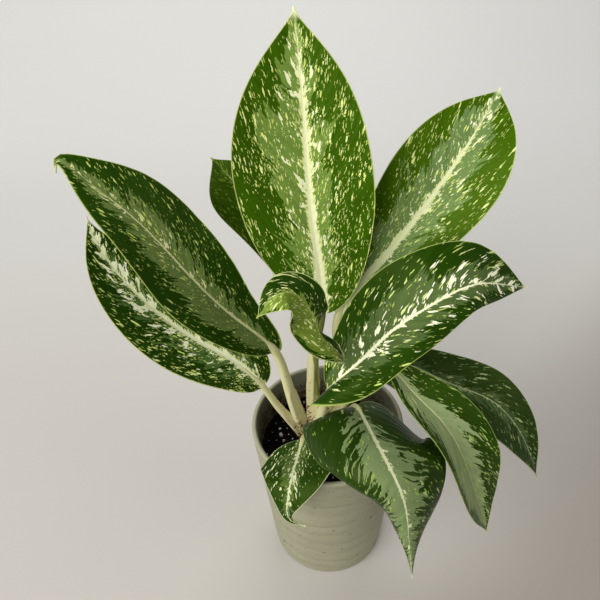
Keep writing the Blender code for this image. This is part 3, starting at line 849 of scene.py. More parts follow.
def blade_half(leaf, side, at, shares, ripple):
    """Half of the blade's middle surface: points, normals, and where each point is on the blade in mm."""
    middle, along, sideways, up, length = blade_frames(leaf, at)
    sign = (-1, 1)[side]
    half = outline(leaf, side, at)
    cup = np.radians(eased(leaf.cup[side], at))
    curl = np.radians(eased(leaf.curl[side], at))
    steps = (np.arange(CURL_STEPS) + 0.5) / CURL_STEPS
    angle = cup[:, None] + curl[:, None] * steps
    start = np.zeros((len(at), 1))
    reach = np.concatenate([start, np.cumsum(np.cos(angle), axis=1) / CURL_STEPS], axis=1)
    rise = np.concatenate([start, np.cumsum(np.sin(angle), axis=1) / CURL_STEPS], axis=1)
    ticks = np.linspace(0, 1, CURL_STEPS + 1)
    height, waves, phase = leaf.wave
    turn = FULL_TURN * (waves * at + phase + SWELL_SHIFT * sign)
    swell = np.sin(turn) * np.sin(np.pi * at) ** SWELL_POWER
    sweep = leaf.lobe[side] * (at / LOBE_PLACE * np.exp(1 - at / LOBE_PLACE)) ** leaf.onset[side]
    points = []
    normals = []
    spans = []
    for share in shares:
        out = np.array([np.interp(share, ticks, row) for row in reach]) * half
        lift = np.array([np.interp(share, ticks, row) for row in rise]) * half
        lift += (height * swell + ripple) * MM * share ** 2
        back = MM * sweep * share ** LOBE_POWER
        tilt = cup + curl * share
        across = sideways * (sign * out)[:, None]
        points.append(middle + across + up * lift[:, None] - along * back[:, None])
        normals.append(up * np.cos(tilt)[:, None] - sideways * (sign * np.sin(tilt))[:, None])
        spans.append(np.stack([sign * share * half, at * length - back, half], axis=1) / MM)
    normals[0] = up
    return np.stack(points, axis=1), np.stack(normals, axis=1), np.stack(spans, axis=1)


def margin_ripple(at, draw):
    """A small irregular lift of the margin in mm, from a few seeded waves."""
    lift = np.zeros(len(at))
    for count in RIPPLE_WAVES:
        strength = draw.uniform(*RIPPLE_RANGE)
        lift += strength * np.sin(FULL_TURN * (count * at + draw.random())) / count ** 0.5
    return lift * np.sin(np.pi * at) ** 0.5


def blade_mesh(leaf, settings):
    """A closed thin blade: a channelled upper face, a keeled lower face and a thin edge round it."""
    at = np.linspace(0, 1, settings.rows + 1) ** ROW_POWER
    shares = np.linspace(0, 1, settings.columns + 1) ** COLUMN_POWER
    draw = random.Random(SEED + sum(map(ord, leaf.name)))
    halves = [
        blade_half(leaf, side, at, shares, margin_ripple(at, draw) * settings.ripple / MM)
        for side in (0, 1)
    ]
    points, normals, spans = (
        np.concatenate([left[:, ::-1], right[:, 1:]], axis=1) for left, right in zip(*halves)
    )
    rows, columns = points.shape[:2]
    share = np.concatenate([-shares[::-1], shares[1:]])
    off = np.abs(spans[..., 0])
    left_over = (1 - at)[:, None]
    thickness = BLADE_THICKNESS / 2 * (1 - MARGIN_THINNING * share ** 2)
    channel = CHANNEL_DEPTH * left_over * np.exp(-(off / CHANNEL_WIDTH) ** 2)
    keel = KEEL_DEPTH * left_over ** KEEL_POWER * np.exp(-(off / KEEL_WIDTH) ** 2)
    upper = points + normals * (thickness - channel)[..., None]
    lower = points - normals * (thickness + keel)[..., None]
    size = rows * columns
    number = np.arange(size).reshape(rows, columns)
    quads = np.stack([number[:-1, :-1], number[:-1, 1:], number[1:, 1:], number[1:, :-1]], axis=-1)
    quads = quads.reshape(-1, 4)
    rim = np.concatenate([number[0, :-1], number[:-1, -1], number[-1, :0:-1], number[:0:-1, 0]])
    after = np.roll(rim, -1)
    edge = np.stack([rim, rim + size, after + size, after], axis=-1)
    faces = np.concatenate([quads, quads[:, ::-1] + size, edge])
    skins = np.concatenate([upper.reshape(-1, 3), lower.reshape(-1, 3)])
    mesh = mesh_from(leaf.name, skins, faces.tolist())
    under = np.zeros(len(faces), np.int32)
    under[len(quads):2 * len(quads)] = 1
    mesh.polygons.foreach_set("material_index", under)
    along, across = np.broadcast_to(at[:, None], off.shape), np.broadcast_to(share, off.shape)
    place = np.stack([along, across, off * 0], axis=-1)
    add_vectors(mesh, "leaf_span", np.concatenate([spans.reshape(-1, 3)] * 2))
    add_vectors(mesh, "leaf_place", np.concatenate([place.reshape(-1, 3)] * 2))
    mesh.shade_smooth()
    mesh.set_sharp_from_angle(angle=SHARP_ANGLE)
    return mesh


class Field(NamedTuple):
    """Noise drawn out along the veins: its waves for each mm across them and along them, a shift that
    parts it from the other fields, and its detail and roughness."""

    across: float
    along: float
    shift: float
    detail: float = 2.0
    roughness: float = 0.5


STRIPES = Field(1.5, 0.07, 2.1, 3.0, 0.6)
MARGIN_TONES = Field(0.10, 0.05, 5.7)
MIDDLE_TONES = Field(0.16, 0.06, 3.3)
BORDER_SWINGS = Field(0.05, 0.04, 9.0, 1.0)
BORDER_SPIKES = Field(0.32, 0.13, 0.0, 2.0, 0.6)
BORDER_ISLANDS = Field(0.5, 0.5, 17.0, 3.0, 0.65)
DARK_SPECKS = Field(0.5, 0.5, 23.0)
FLECK_CLOUDS = Field(0.06, 0.06, 27.0, 1.0)
FLECK_TINTS = Field(0.25, 0.25, 35.0, 1.0)
FLECK_EDGES = Field(1.1, 1.3, 1.7, 1.0)
SPLASHES = Field(0.17, 0.28, 31.0, 3.0, 0.6)
SPLASH_EDGES = Field(0.6, 0.5, 33.0, 1.0)
RIB_EDGES = Field(0.6, 0.6, 41.0, 3.0, 0.6)
RIB_FRINGE = Field(0.55, 0.6, 43.0)
RIB_TONES = Field(0.2, 0.6, 51.0)
FINE_RELIEF = Field(0.5, 0.25, 61.0)


class Fleck(NamedTuple):
    """One size of fleck: the cells of its net for each mm across the veins and along them, a shift of the
    net, the share of the pattern's flecks that it gets, and the largest radius as a share of a cell."""

    across: float
    along: float
    shift: float
    share: float
    largest: float


SMALL_FLECK = Fleck(0.52, 1.3, 13.0, 0.7, 0.42)
MEDIUM_FLECK = Fleck(0.28, 0.75, 21.0, 1.0, 0.40)
LARGE_FLECK = Fleck(0.17, 0.46, 29.0, 0.45, 0.36)
SMALLEST_FLECK = 0.14
FLECK_RAG = 0.9
FLECK_BLUR = 0.035
NET_SHIFT = 11.0

# A mark stands where its noise passes MARK_LEVEL less its amount times MARK_SPAN
MARK_LEVEL = 0.74
MARK_SPAN = 0.17
MARK_BLUR = 0.012

# The middle zone and the paler line inside its border, in shares of the blade and of its half
HALF_BLUR = 0.02
ZONE_OPENS = (0.05, 0.4)
ZONE_POWER = 2.5
ZONE_BLUR = 0.006
PALE_LINE = (0.02, 0.03)

# The pale edge line, in mm from the margin, and the pale tip, in shares of the blade
EDGE_LINE_MM = (0.1, 0.6)
TIP_CREAM = (0.962, 0.992)

# Contrast and balance of the tones that noise brings to each zone, and how far it moves the zone's border
MARGIN_STRIPES = 0.25
MARGIN_CONTRAST = 1.2
MARGIN_BALANCE = 0.25
MIDDLE_STRIPES = 0.3
MIDDLE_CONTRAST = 1.5
MIDDLE_BALANCE = 0.4
TINT_CONTRAST = 3.4
TINT_BALANCE = 1.2
SWING_DEPTH = 2.0
SPIKE_DEPTH = 2.2

# Amounts of dark specks at the middle zone's border and inwards, and of flecks in clouds and to the tip
SPECKS_AT_BORDER = 0.35
SPECKS_FALL = 1.2
CLOUD_DEPTH = 2.6
TIPWARD_POWER = 3.0

# Splashes: their reach, the noise that makes them, and how thickly they lie
SPLASH_REACH = 2.2
SPLASH_LEAST = 0.02
SPLASH_CONTRAST = 1.1
SPLASH_RAG = 0.3
SPLASH_BALANCE = 0.2
SPLASH_FADE = (0.0, 0.3)
SPLATTER_LEAST = 0.4
SPLATTER_AT_FOOT = 0.75
SPLATTER_GROWTH = 0.5
SPLATTER_BALANCE = 0.1

# The pale midrib: how it fades and narrows to the tip, and its ragged edge and speckled fringe
RIB_FADE = (-0.3, 0.04)
RIB_POWER = 1.25
RIB_AT_TIP = 0.1
RIB_FADED = 0.12
RIB_RAG = 0.9
RIB_BLUR_MM = 0.2
FRINGE_LIFT = 0.22
FRINGE_FALL = 0.16
FRINGE_LEAST = 0.3
FRINGE_LEVEL = (0.56, 0.60)

# How strongly a mark covers what lies under it
PALE_LINE_COVER = 0.5
SMALL_FLECK_COVER = 0.8
FRINGE_COVER = 0.75
EDGE_COVER = 0.6
TIP_COVER = 0.85

# Heights of the relief of veins, stripes and fine lines, how it is bumped, and how the gloss varies
VEIN_RELIEF = 0.22
STRIPE_RELIEF = 0.25
LINE_RELIEF = 0.35
LEAF_BUMP = (0.5, 0.5 * MM)
GLOSS_CONTRAST = 0.12
GLOSS_BALANCE = 0.04

# Underside: the green that greys it, waves of its stripes and veins for each mm, and its midrib's width
UNDER_GREY = display(112, 138, 88)
UNDER_STRIPES = (1.1, 0.06)
UNDER_VEINS = 0.9
UNDER_RIB_SHARE = 0.7
UNDER_RIB_LEAST = 0.5
UNDER_RIB_BLUR = 0.4


def vein_places(finish, pattern, seed):
    """Where a point is on the blade, in mm and shares, which vein runs through it and its noise layer."""
    across, along, half = finish.split(finish.attribute("leaf_span"))
    place, share, _ = finish.split(finish.attribute("leaf_place"))
    off = abs(across)
    reach = abs(share)
    slope, to_tip, to_margin = pattern.lean
    layer = finish.maths("SIGN", share) * HALF_SHIFT + seed
    spot = finish.combine(along * VEIN_DRIFT_WAVES, off * VEIN_DRIFT_WAVES, layer)
    drift = (finish.noise(spot, detail=1.0) - 0.5) * VEIN_DRIFT
    vein = along - off * (slope + to_tip * place + to_margin * reach) + drift
    return off, half, place, share, reach, vein, layer


def upper_finish(leaf, pattern, settings, seed):
    """The variegated upper face: green margin, feathered paler middle, flecks, splashes and midrib."""
    finish = Finish("upper_face_" + leaf.name)
    off, half, place, share, reach, vein, layer = vein_places(finish, pattern, seed)
    size, stretch = pattern.mark_size

    def streaks(field, shift=0.0):
        """A field of noise at the size and stretch of this pattern's marks."""
        x = vein * (field.across / size)
        y = off * (field.along / size / stretch)
        vector = finish.combine(x, y, layer + (field.shift + shift))
        return finish.noise(vector, 1.0, field.detail, field.roughness)

    def flecks(kind, amount):
        """Separate marks, one in each cell of a net drawn out along the veins, in part of the cells."""
        ragged = streaks(FLECK_EDGES, kind.shift) * FLECK_RAG
        u = vein * (kind.across / size) + ragged + kind.shift
        v = off * (kind.along / size / stretch) + layer * NET_SHIFT + ragged
        near, (chance, bulk, _) = finish.cells(finish.combine(u, v, 0.0), dimensions="2D")
        radius = bulk * bulk * (kind.largest - SMALLEST_FLECK) + SMALLEST_FLECK
        held = finish.maths("LESS_THAN", chance, amount * kind.share)
        return finish.step(radius - near, -FLECK_BLUR, FLECK_BLUR) * held

    def marks(field, amount):
        """The parts of a noise field above a level, which is lower where the amount is larger."""
        level = MARK_LEVEL - amount * MARK_SPAN
        return finish.step(field - level, -MARK_BLUR, MARK_BLUR)

    # Margin zone with fine stripes along the veins
    stripes = streaks(STRIPES)
    dark_margin = scaled(pattern.margin, MARGIN_DARK)
    light_margin = scaled(pattern.margin, MARGIN_LIGHT, MARGIN_LIFT)
    tones = stripes * MARGIN_STRIPES + streaks(MARGIN_TONES) * MARGIN_CONTRAST - MARGIN_BALANCE
    green = finish.mix(tones, dark_margin, light_margin)

    # Middle zone with a feathered, lobed border that breaks up into islands
    left, right = pattern.spread
    spread = left + (right - left) * finish.step(share, -HALF_BLUR, HALF_BLUR)
    opening = pattern.start + (1 - pattern.start) * finish.step(place, *ZONE_OPENS)
    narrowing = 1 - pattern.narrow * place ** ZONE_POWER
    swings = (streaks(BORDER_SWINGS) - 0.5) * (pattern.lobes * SWING_DEPTH)
    spikes = (streaks(BORDER_SPIKES) - 0.5) * (pattern.feather * SPIKE_DEPTH)
    islands = (streaks(BORDER_ISLANDS) - 0.5) * pattern.feather
    border = spread * opening * narrowing + swings + spikes + islands - reach
    zone = finish.step(border, -ZONE_BLUR, ZONE_BLUR)
    inset, breadth = PALE_LINE
    pale_line = 1 - finish.step(abs(border - inset), 0.0, breadth)
    dark_middle = scaled(pattern.middle, MIDDLE_DARK)
    light_middle = scaled(pattern.middle, MIDDLE_LIGHT)
    tones = stripes * MIDDLE_STRIPES + streaks(MIDDLE_TONES) * MIDDLE_CONTRAST - MIDDLE_BALANCE
    middle = finish.mix(tones, dark_middle, light_middle)
    middle = finish.mix(pale_line * PALE_LINE_COVER, middle, light_middle)
    skin = finish.mix(zone, green, middle)

    # Dark specks in the middle zone, then separate pale flecks of three sizes all over
    dark_specks = marks(streaks(DARK_SPECKS), SPECKS_AT_BORDER - border * SPECKS_FALL) * zone
    skin = finish.mix(dark_specks, skin, green)
    at_rib, at_margin = pattern.flecks
    clouds = (streaks(FLECK_CLOUDS) - 0.5) * (CLOUD_DEPTH * max(at_rib, at_margin))
    amount = at_rib + (at_margin - at_rib) * reach + clouds + pattern.tipward * place ** TIPWARD_POWER
    tint = streaks(FLECK_TINTS) * TINT_CONTRAST - TINT_BALANCE
    cream = between(pattern.fleck, pattern.rib)
    shade = finish.mix(tint, between(pattern.fleck, pattern.middle), pattern.fleck)
    pale_shade = finish.mix(tint, pattern.fleck, cream)
    skin = finish.mix(flecks(SMALL_FLECK, amount) * SMALL_FLECK_COVER, skin, shade)
    skin = finish.mix(flecks(MEDIUM_FLECK, amount), skin, shade)
    skin = finish.mix(flecks(LARGE_FLECK, amount), skin, pale_shade)

    # Splashes beside the midrib
    nearness = 1 - finish.step(reach, 0.0, max(pattern.splashes * SPLASH_REACH, SPLASH_LEAST))
    field = streaks(SPLASHES) * SPLASH_CONTRAST + streaks(SPLASH_EDGES) * SPLASH_RAG - SPLASH_BALANCE
    growth = SPLATTER_AT_FOOT + SPLATTER_GROWTH * place
    thickness = nearness * (SPLATTER_LEAST + pattern.splatter) * growth - SPLATTER_BALANCE
    splash = marks(field, thickness) * finish.step(nearness, *SPLASH_FADE)
    skin = finish.mix(splash, skin, pattern.rib)

    # The pale midrib with its speckled fringe
    left_over = 1 - finish.step(place, *(pattern.rib_end + fade for fade in RIB_FADE))
    narrowing = (1 - place) ** RIB_POWER * (1 - RIB_AT_TIP) + RIB_AT_TIP
    rib_half = pattern.rib_width * narrowing * (RIB_FADED + (1 - RIB_FADED) * left_over)
    beside = finish.maths("MAXIMUM", off - rib_half, 0.0)
    fall = FRINGE_FALL / (FRINGE_LEAST + pattern.fringe)
    field = streaks(RIB_FRINGE) + pattern.fringe * FRINGE_LIFT - beside * fall
    fringe = finish.step(field, *FRINGE_LEVEL) * left_over
    skin = finish.mix(fringe * FRINGE_COVER, skin, cream)
    ragged = 1 + (streaks(RIB_EDGES) - 0.5) * RIB_RAG
    rib = finish.step(rib_half * ragged - off, -RIB_BLUR_MM, RIB_BLUR_MM)
    rib_shade = finish.mix(streaks(RIB_TONES), pattern.rib, scaled(pattern.rib, RIB_DARK))
    skin = finish.mix(rib, skin, rib_shade)

    # Pale edge line and tip
    edge = 1 - finish.step(half - off, *EDGE_LINE_MM)
    tip = finish.step(place, *TIP_CREAM)
    skin = finish.mix(edge * EDGE_COVER, skin, pattern.fleck)
    skin = finish.mix(tip * TIP_COVER, skin, pattern.rib)

    # Relief: side veins and the fine lines between them
    ridges = finish.maths("SINE", vein * (FULL_TURN / settings.vein_pitch * MM))
    relief = ridges * VEIN_RELIEF + stripes * STRIPE_RELIEF + streaks(FINE_RELIEF) * LINE_RELIEF
    finish.set(
        Base_Color=skin,
        Roughness=pattern.gloss + stripes * GLOSS_CONTRAST - GLOSS_BALANCE,
        Specular_IOR_Level=pattern.shine,
        Specular_Tint=LEAF_GLINT,
        Normal=finish.bump(relief, *LEAF_BUMP),
    )
    return finish.material


def lower_finish(leaf, pattern, seed):
    """The paler, duller underside with its veins."""
    finish = Finish("under_face_" + leaf.name)
    off, _, place, _, _, vein, layer = vein_places(finish, pattern, seed)
    waves_across, waves_along = UNDER_STRIPES
    stripes = finish.combine(vein * waves_across, off * waves_along, layer)
    stripes = finish.noise(stripes, detail=3.0, roughness=0.6)
    base = between(pattern.margin, UNDER_GREY, UNDER_SHARE)
    skin = finish.mix(stripes, base, scaled(base, UNDER_PALE))
    rib_half = pattern.rib_width * UNDER_RIB_SHARE * (1 - place) + UNDER_RIB_LEAST
    rib = finish.step(rib_half - off, -UNDER_RIB_BLUR, UNDER_RIB_BLUR)
    skin = finish.mix(rib, skin, scaled(pattern.rib, UNDER_RIB))
    ridges = finish.maths("SINE", vein * UNDER_VEINS)
    finish.set(
        Base_Color=skin,
        Roughness=0.55 + stripes * 0.1,
        Normal=finish.bump(stripes * 0.5 + ridges * 0.3, *LEAF_BUMP),
    )
    return finish.material


# Stalks

def stalk_line(leaf):
    """Points, radii and upward directions along a stalk, which runs on into the blade's midrib."""
    length = leaf_path(leaf, "stalk", np.array([0.0]))[2] / MM
    at = np.linspace(0, 1, int(length / STALK_STEP) + 1)
    middle, direction, _ = leaf_path(leaf, "stalk", at)
    foot_radius, top_radius = leaf.radius
    radius = top_radius + (foot_radius - top_radius) * (1 - at) ** STALK_POWER
    blade_length = leaf_path(leaf, "blade", np.array([0.0]))[2] / MM
    run = np.arange(STALK_STEP, STALK_RUN_ON, STALK_STEP)
    on = run / blade_length
    further, _, _, up, _ = blade_frames(leaf, on)
    fading = smooth_steps(run / STALK_RUN_ON)
    thin = top_radius * (1 - fading) + STALK_END_RADIUS * fading
    sink = (thin - STALK_SINK) * smooth_steps(run / (STALK_RUN_ON * STALK_SINK_SHARE))
    further = further - up * (sink * MM)[:, None]
    first_up = blade_frames(leaf, np.array([0.0]))[3][0]
    ups = [first_up]
    for tangent in direction[::-1][1:]:
        turned = ups[-1] - tangent * np.dot(ups[-1], tangent)
        ups.append(turned / np.linalg.norm(turned))
    points = np.concatenate([middle, further])
    radii = np.concatenate([radius, thin]) * MM
    upward = np.concatenate([np.array(ups[::-1]), up])
    place = np.concatenate([at, 1 + run / STALK_RUN_ON])
    return points, radii, upward, place


def stalk_lines_mesh():
    points, radii, upward, place, which, edges = [], [], [], [], [], []
    for number, leaf in enumerate(LEAVES):
        line, thick, up, at = stalk_line(leaf)
        start = sum(len(group) for group in points)
        edges += [(start + i, start + i + 1) for i in range(len(line) - 1)]
        points.append(line)
        radii.append(thick)
        upward.append(up)
        place.append(at)
        which.append(np.full(len(line), float(number)))
    mesh = mesh_from("stalk_lines", np.concatenate(points), [], edges)
    add_numbers(mesh, "thick", np.concatenate(radii))
    add_numbers(mesh, "place", np.concatenate(place))
    add_numbers(mesh, "which", np.concatenate(which))
    add_vectors(mesh, "upward", np.concatenate(upward))
    return mesh


def stalk_tree():
    """Sweep a round section along each line, then press a groove and sheath edges into its upper side."""
    inputs = {
        "Sides": "NodeSocketInt",
        "Groove": "NodeSocketFloat",
        "Sheath": "NodeSocketFloat",
        "Material": "NodeSocketMaterial",
    }
    tree = Shaping("stalk_sweep", inputs)
    lines = tree.node("GeometryNodeMeshToCurve", {}, {"Mesh": tree.given("Geometry")})
    upward = tree.named("upward", "FLOAT_VECTOR")
    lines = tree.node("GeometryNodeSetCurveNormal", {"mode": "FREE"}, {"Curve": lines, "Normal": upward})
    sockets = {"Resolution": tree.given("Sides"), "Radius": 1.0}
    circle = tree.node("GeometryNodeCurvePrimitiveCircle", {}, sockets)
    factor = tree.node("GeometryNodeSplineParameter", {}, {}, "Factor")
    circle = tree.store(circle, "around", factor)
    sockets = {"Curve": lines, "Profile Curve": circle, "Scale": tree.named("thick"), "Fill Caps": True}
    tube = tree.node("GeometryNodeCurveToMesh", {}, sockets)
    turn = tree.named("around") * FULL_TURN
    height = tree.maths("COSINE", turn)
    place = tree.named("place")
    groove = tree.step(height, *GROOVE_OPENS) * tree.given("Groove")
    varied = tree.maths("SINE", tree.named("which") * SHEATH_VARIES) * SHEATH_SPREAD
    end = tree.given("Sheath") + varied
    sheathed = 1 - tree.step(place - height * SHEATH_SLANT, end - SHEATH_FADE, end)
    low, high = (tree.step(height, *ends) for ends in SHEATH_RISES)
    edge = (low + high) * (1 - tree.step(height, *SHEATH_FALLS)) * sheathed * SHEATH_EDGE
    change = (edge - groove * (GROOVE_UNSHEATHED + sheathed)) * tree.named("thick")
    normal = tree.node("GeometryNodeInputNormal")
    offset = tree.node("ShaderNodeVectorMath", {"operation": "SCALE"}, {0: normal, "Scale": change})
    shaped = tree.node("GeometryNodeSetPosition", {}, {"Geometry": tube, "Offset": offset})
    tree.end(shaped)
    return tree


def stalk_finish(settings):
    """Cream stalks with fine lengthwise lines, brown scars near the foot and an olive side that is partly
    painted shade.
    """
    finish = Finish("stalk_cream")
    place, around, which = (finish.attribute(name, "Fac") for name in ("place", "around", "which"))
    spot = finish.object_place()
    x, _, height = finish.split(spot)
    cream = tuple(settings.cream)
    waves_round, waves_along = LINE_WAVES
    lines = finish.combine(around * waves_round, place * waves_along, which * LINE_SHIFT)
    lines = finish.noise(lines, detail=3.0, roughness=0.6)
    skin = finish.mix(lines * 1.4 - 0.2, tinted(cream, STALK_WARM), cream)
    greenish = finish.step(place + (lines - 0.5) * 0.5, *GREEN_SETS_IN)
    skin = finish.mix(greenish * 0.35, skin, tinted(cream, STALK_GREEN))

    # The tallest stalk is olive on its right, and the young leaf's stalk beside it all round: partly the
    # stalks' own green, partly painted shade where they stand in shadow
    names = [leaf.name for leaf in LEAVES]
    of_top, of_young = (
        finish.maths("LESS_THAN", abs(which - names.index(name)), 0.5)
        for name in ("leaf_top", "leaf_young")
    )
    middle = height * OLIVE_LEAN + OLIVE_SHIFT
    right_side = finish.step(x - middle + (lines - 0.5) * 1.2 * MM, -0.3 * MM, 0.5 * MM)
    olive_and_shade = (right_side * of_top + of_young) * finish.step(height, *OLIVE_START)
    skin = finish.mix(olive_and_shade, skin, tuple(settings.olive_and_shade))

    blotch = finish.noise(spot, *STALK_BLOTCHES)
    low = 1 - finish.step(place, *SCARS_END)
    scars = finish.step(blotch + low * SCARS_AT_FOOT, *SCAR_LEVEL)
    skin = finish.mix(scars, skin, tuple(settings.scar))
    finish.set(
        Base_Color=skin,
        Roughness=0.42 + lines * 0.15,
        Coat_Weight=0.1,
        Coat_Roughness=0.3,
        Normal=finish.bump(lines + blotch * 0.3, 0.4, 0.4 * MM),
    )
    return finish.material


# Pot and soil

def wall_radius(height):
    """Radius of the pot's plain tapered outside at a height."""
    return POT_BASE_RADIUS + (POT_RIM_RADIUS - POT_BASE_RADIUS) * height / POT_HEIGHT


def pot_section():
    """The pot's section as (radius, height, share of ring relief), from under the base to the floor."""
    section = [(0.0, 0.0, 0.0), (wall_radius(0) * 0.5, 0.0, 0.0)]
    for step in range(EDGE_STEPS + 1):
        turn = math.pi / 2 * step / EDGE_STEPS
        out = wall_radius(POT_EDGE) - POT_EDGE + POT_EDGE * math.sin(turn)
        section.append((out, POT_EDGE * (1 - math.cos(turn)), 0.0))
    rim_height = POT_HEIGHT - POT_WALL / 2
    rim_middle = POT_RIM_RADIUS - POT_WALL / 2
    for height in np.arange(POT_EDGE + WALL_STEP, rim_height, WALL_STEP):
        above_foot = smooth_steps((height - POT_EDGE) / POT_FOOT_BAND)
        below_rim = smooth_steps((rim_height - height) / POT_RIM_BAND)
        section.append((wall_radius(height), height, float(above_foot * below_rim)))
    for step in range(RIM_STEPS + 1):
        turn = math.pi * step / RIM_STEPS
        out = rim_middle + math.cos(turn) * POT_WALL / 2
        section.append((out, rim_height + math.sin(turn) * POT_WALL / 2, 0.0))
    for height in np.arange(rim_height - INNER_STEP, POT_FLOOR + INNER_STEP, -INNER_STEP):
        section.append((wall_radius(height) - POT_WALL, height, 0.0))
    inner = wall_radius(POT_FLOOR) - POT_WALL
    section += [(inner - 1 * MM, POT_FLOOR, 0.0), (inner * 0.5, POT_FLOOR, 0.0), (0.0, POT_FLOOR, 0.0)]
    return section


def pot_tree():
    """Turn the section round the axis, with rounded throwing rings and a slight hand-made wobble."""
    inputs = {
        "Sides": "NodeSocketInt",
        "Rings": "NodeSocketFloat",
        "Relief": "NodeSocketFloat",
        "Wobble": "NodeSocketFloat",
        "Material": "NodeSocketMaterial",
    }
    tree = Shaping("pot_turning", inputs)
    section = tree.given("Geometry")
    count = tree.node("GeometryNodeAttributeDomainSize", {}, {"Geometry": section})
    sides = tree.given("Sides")
    sheet = tree.node("GeometryNodeMeshGrid", {}, {"Vertices X": sides + 1, "Vertices Y": count})
    index = tree.node("GeometryNodeInputIndex")
    column = tree.maths("FLOOR", (index + 0.5) / count)
    row = index - column * count

    def sampled(value, kind):
        sockets = {"Geometry": section, "Value": value, "Index": row}
        return tree.node("GeometryNodeSampleIndex", {"data_type": kind}, sockets)

    spot = tree.split(sampled(tree.node("GeometryNodeInputPosition"), "FLOAT_VECTOR"))
    share = sampled(tree.named("ring_share"), "FLOAT")
    turn = column * FULL_TURN / sides
    cosine, sine = tree.maths("COSINE", turn), tree.maths("SINE", turn)
    height = spot[2]

    def uneven(around, upward, shift=0.0, detail=2.0):
        """Noise over the wall that changes this fast round the axis and for each metre of height."""
        vector = tree.combine(cosine * around + shift, sine * around, height * upward)
        return tree.noise(vector, detail=detail)

    drift = uneven(0.9, 26.0, detail=1.0) - 0.5
    strength = uneven(1.2, 60.0, shift=9.0, detail=1.0)
    rough = uneven(1.5, 45.0) - 0.5
    banded = POT_HEIGHT - POT_FOOT_BAND - POT_RIM_BAND
    phase = (height - POT_FOOT_BAND) / banded * tree.given("Rings")
    ring = abs(tree.maths("SINE", (phase + drift * RING_DRIFT) * math.pi))
    relief = (ring - RING_MIDDLE) * tree.given("Relief") * tree.step(strength, *RING_STRENGTH)
    radius = spot[0] + share * (relief + rough * tree.given("Wobble"))
    turned = tree.combine(radius * cosine, radius * sine, height)
    placed = tree.node("GeometryNodeSetPosition", {}, {"Geometry": sheet, "Position": turned})
    sockets = {"Geometry": placed, "Distance": MERGE_DISTANCE}
    tree.end(tree.node("GeometryNodeMergeByDistance", {}, sockets))
    return tree


def glaze_finish(settings):
    """Sage glaze: slightly cloudy, sprinkled with dark specks, with a painted highlight on the rim,
    painted shade inside and a soil stain inside.
    """
    finish = Finish("sage_glaze")
    spot = finish.object_place()
    x, y, height = finish.split(spot)
    sage = tuple(settings.glaze)
    cloudy = finish.noise(spot, *GLAZE_CLOUDS)
    bands = finish.noise(finish.combine(x * 6, y * 6, height * 130))
    tones = cloudy * 0.9 + bands * 0.8 - 0.35
    skin = finish.mix(tones, scaled(sage, GLAZE_DARK), scaled(sage, GLAZE_LIGHT))

    near, (chance, bulk, _) = finish.cells(spot, SPECK_CELLS)
    least, growth = SPECK_SIZES
    specks = finish.step(bulk * growth + least - near, *SPECK_BLUR)
    specks = specks * finish.maths("LESS_THAN", chance, SPECK_SHARE)
    near, (chance, _, _) = finish.cells(spot, FINE_CELLS)
    fine = finish.step(FINE_SIZE - near, -FINE_BLUR, FINE_BLUR)
    fine = fine * finish.maths("LESS_THAN", chance, FINE_SHARE)
    dark = finish.maths("MAXIMUM", specks * SPECK_COVER, fine * FINE_COVER)
    skin = finish.mix(dark, skin, tuple(settings.speck))

    # Painted highlight: the top of the rim is made paler as if lit from above
    rim = finish.step(height, *(POT_HEIGHT - below for below in RIM_HIGHLIGHT_DEPTHS))
    skin = finish.mix(rim * RIM_HIGHLIGHT_COVER, skin, scaled(sage, GLAZE_RIM_HIGHLIGHT))
    from_axis = finish.maths("SQRT", x * x + y * y)
    inside = 1 - finish.step(from_axis - wall_radius(height), *(-depth for depth in INSIDE_EDGE))
    stain_edge = finish.noise(spot, *STAIN_EDGE) * STAIN_RISE + STAIN_FOOT
    patchy = finish.step(finish.noise(spot, *STAIN_PATCHES), 0.44, 0.56)
    stain = (1 - finish.step(height - stain_edge, *STAIN_FADE)) * inside * patchy
    # Painted shade: the inside of the wall is darkened as if in shadow
    skin = finish.mix(inside * INSIDE_SHADE_COVER, skin, scaled(sage, GLAZE_SHADED_INSIDE))
    skin = finish.mix(stain, skin, tuple(settings.stain))
    relief = cloudy * 0.6 + bands * 0.5 + finish.noise(spot, *GLAZE_GRAIN) * 0.12
    finish.set(
        Base_Color=skin,
        Roughness=0.55 + cloudy * 0.12,
        Coat_Weight=0.08,
        Coat_Roughness=0.4,
        Normal=finish.bump(relief, 0.35, 0.6 * MM),
    )
    return finish.material


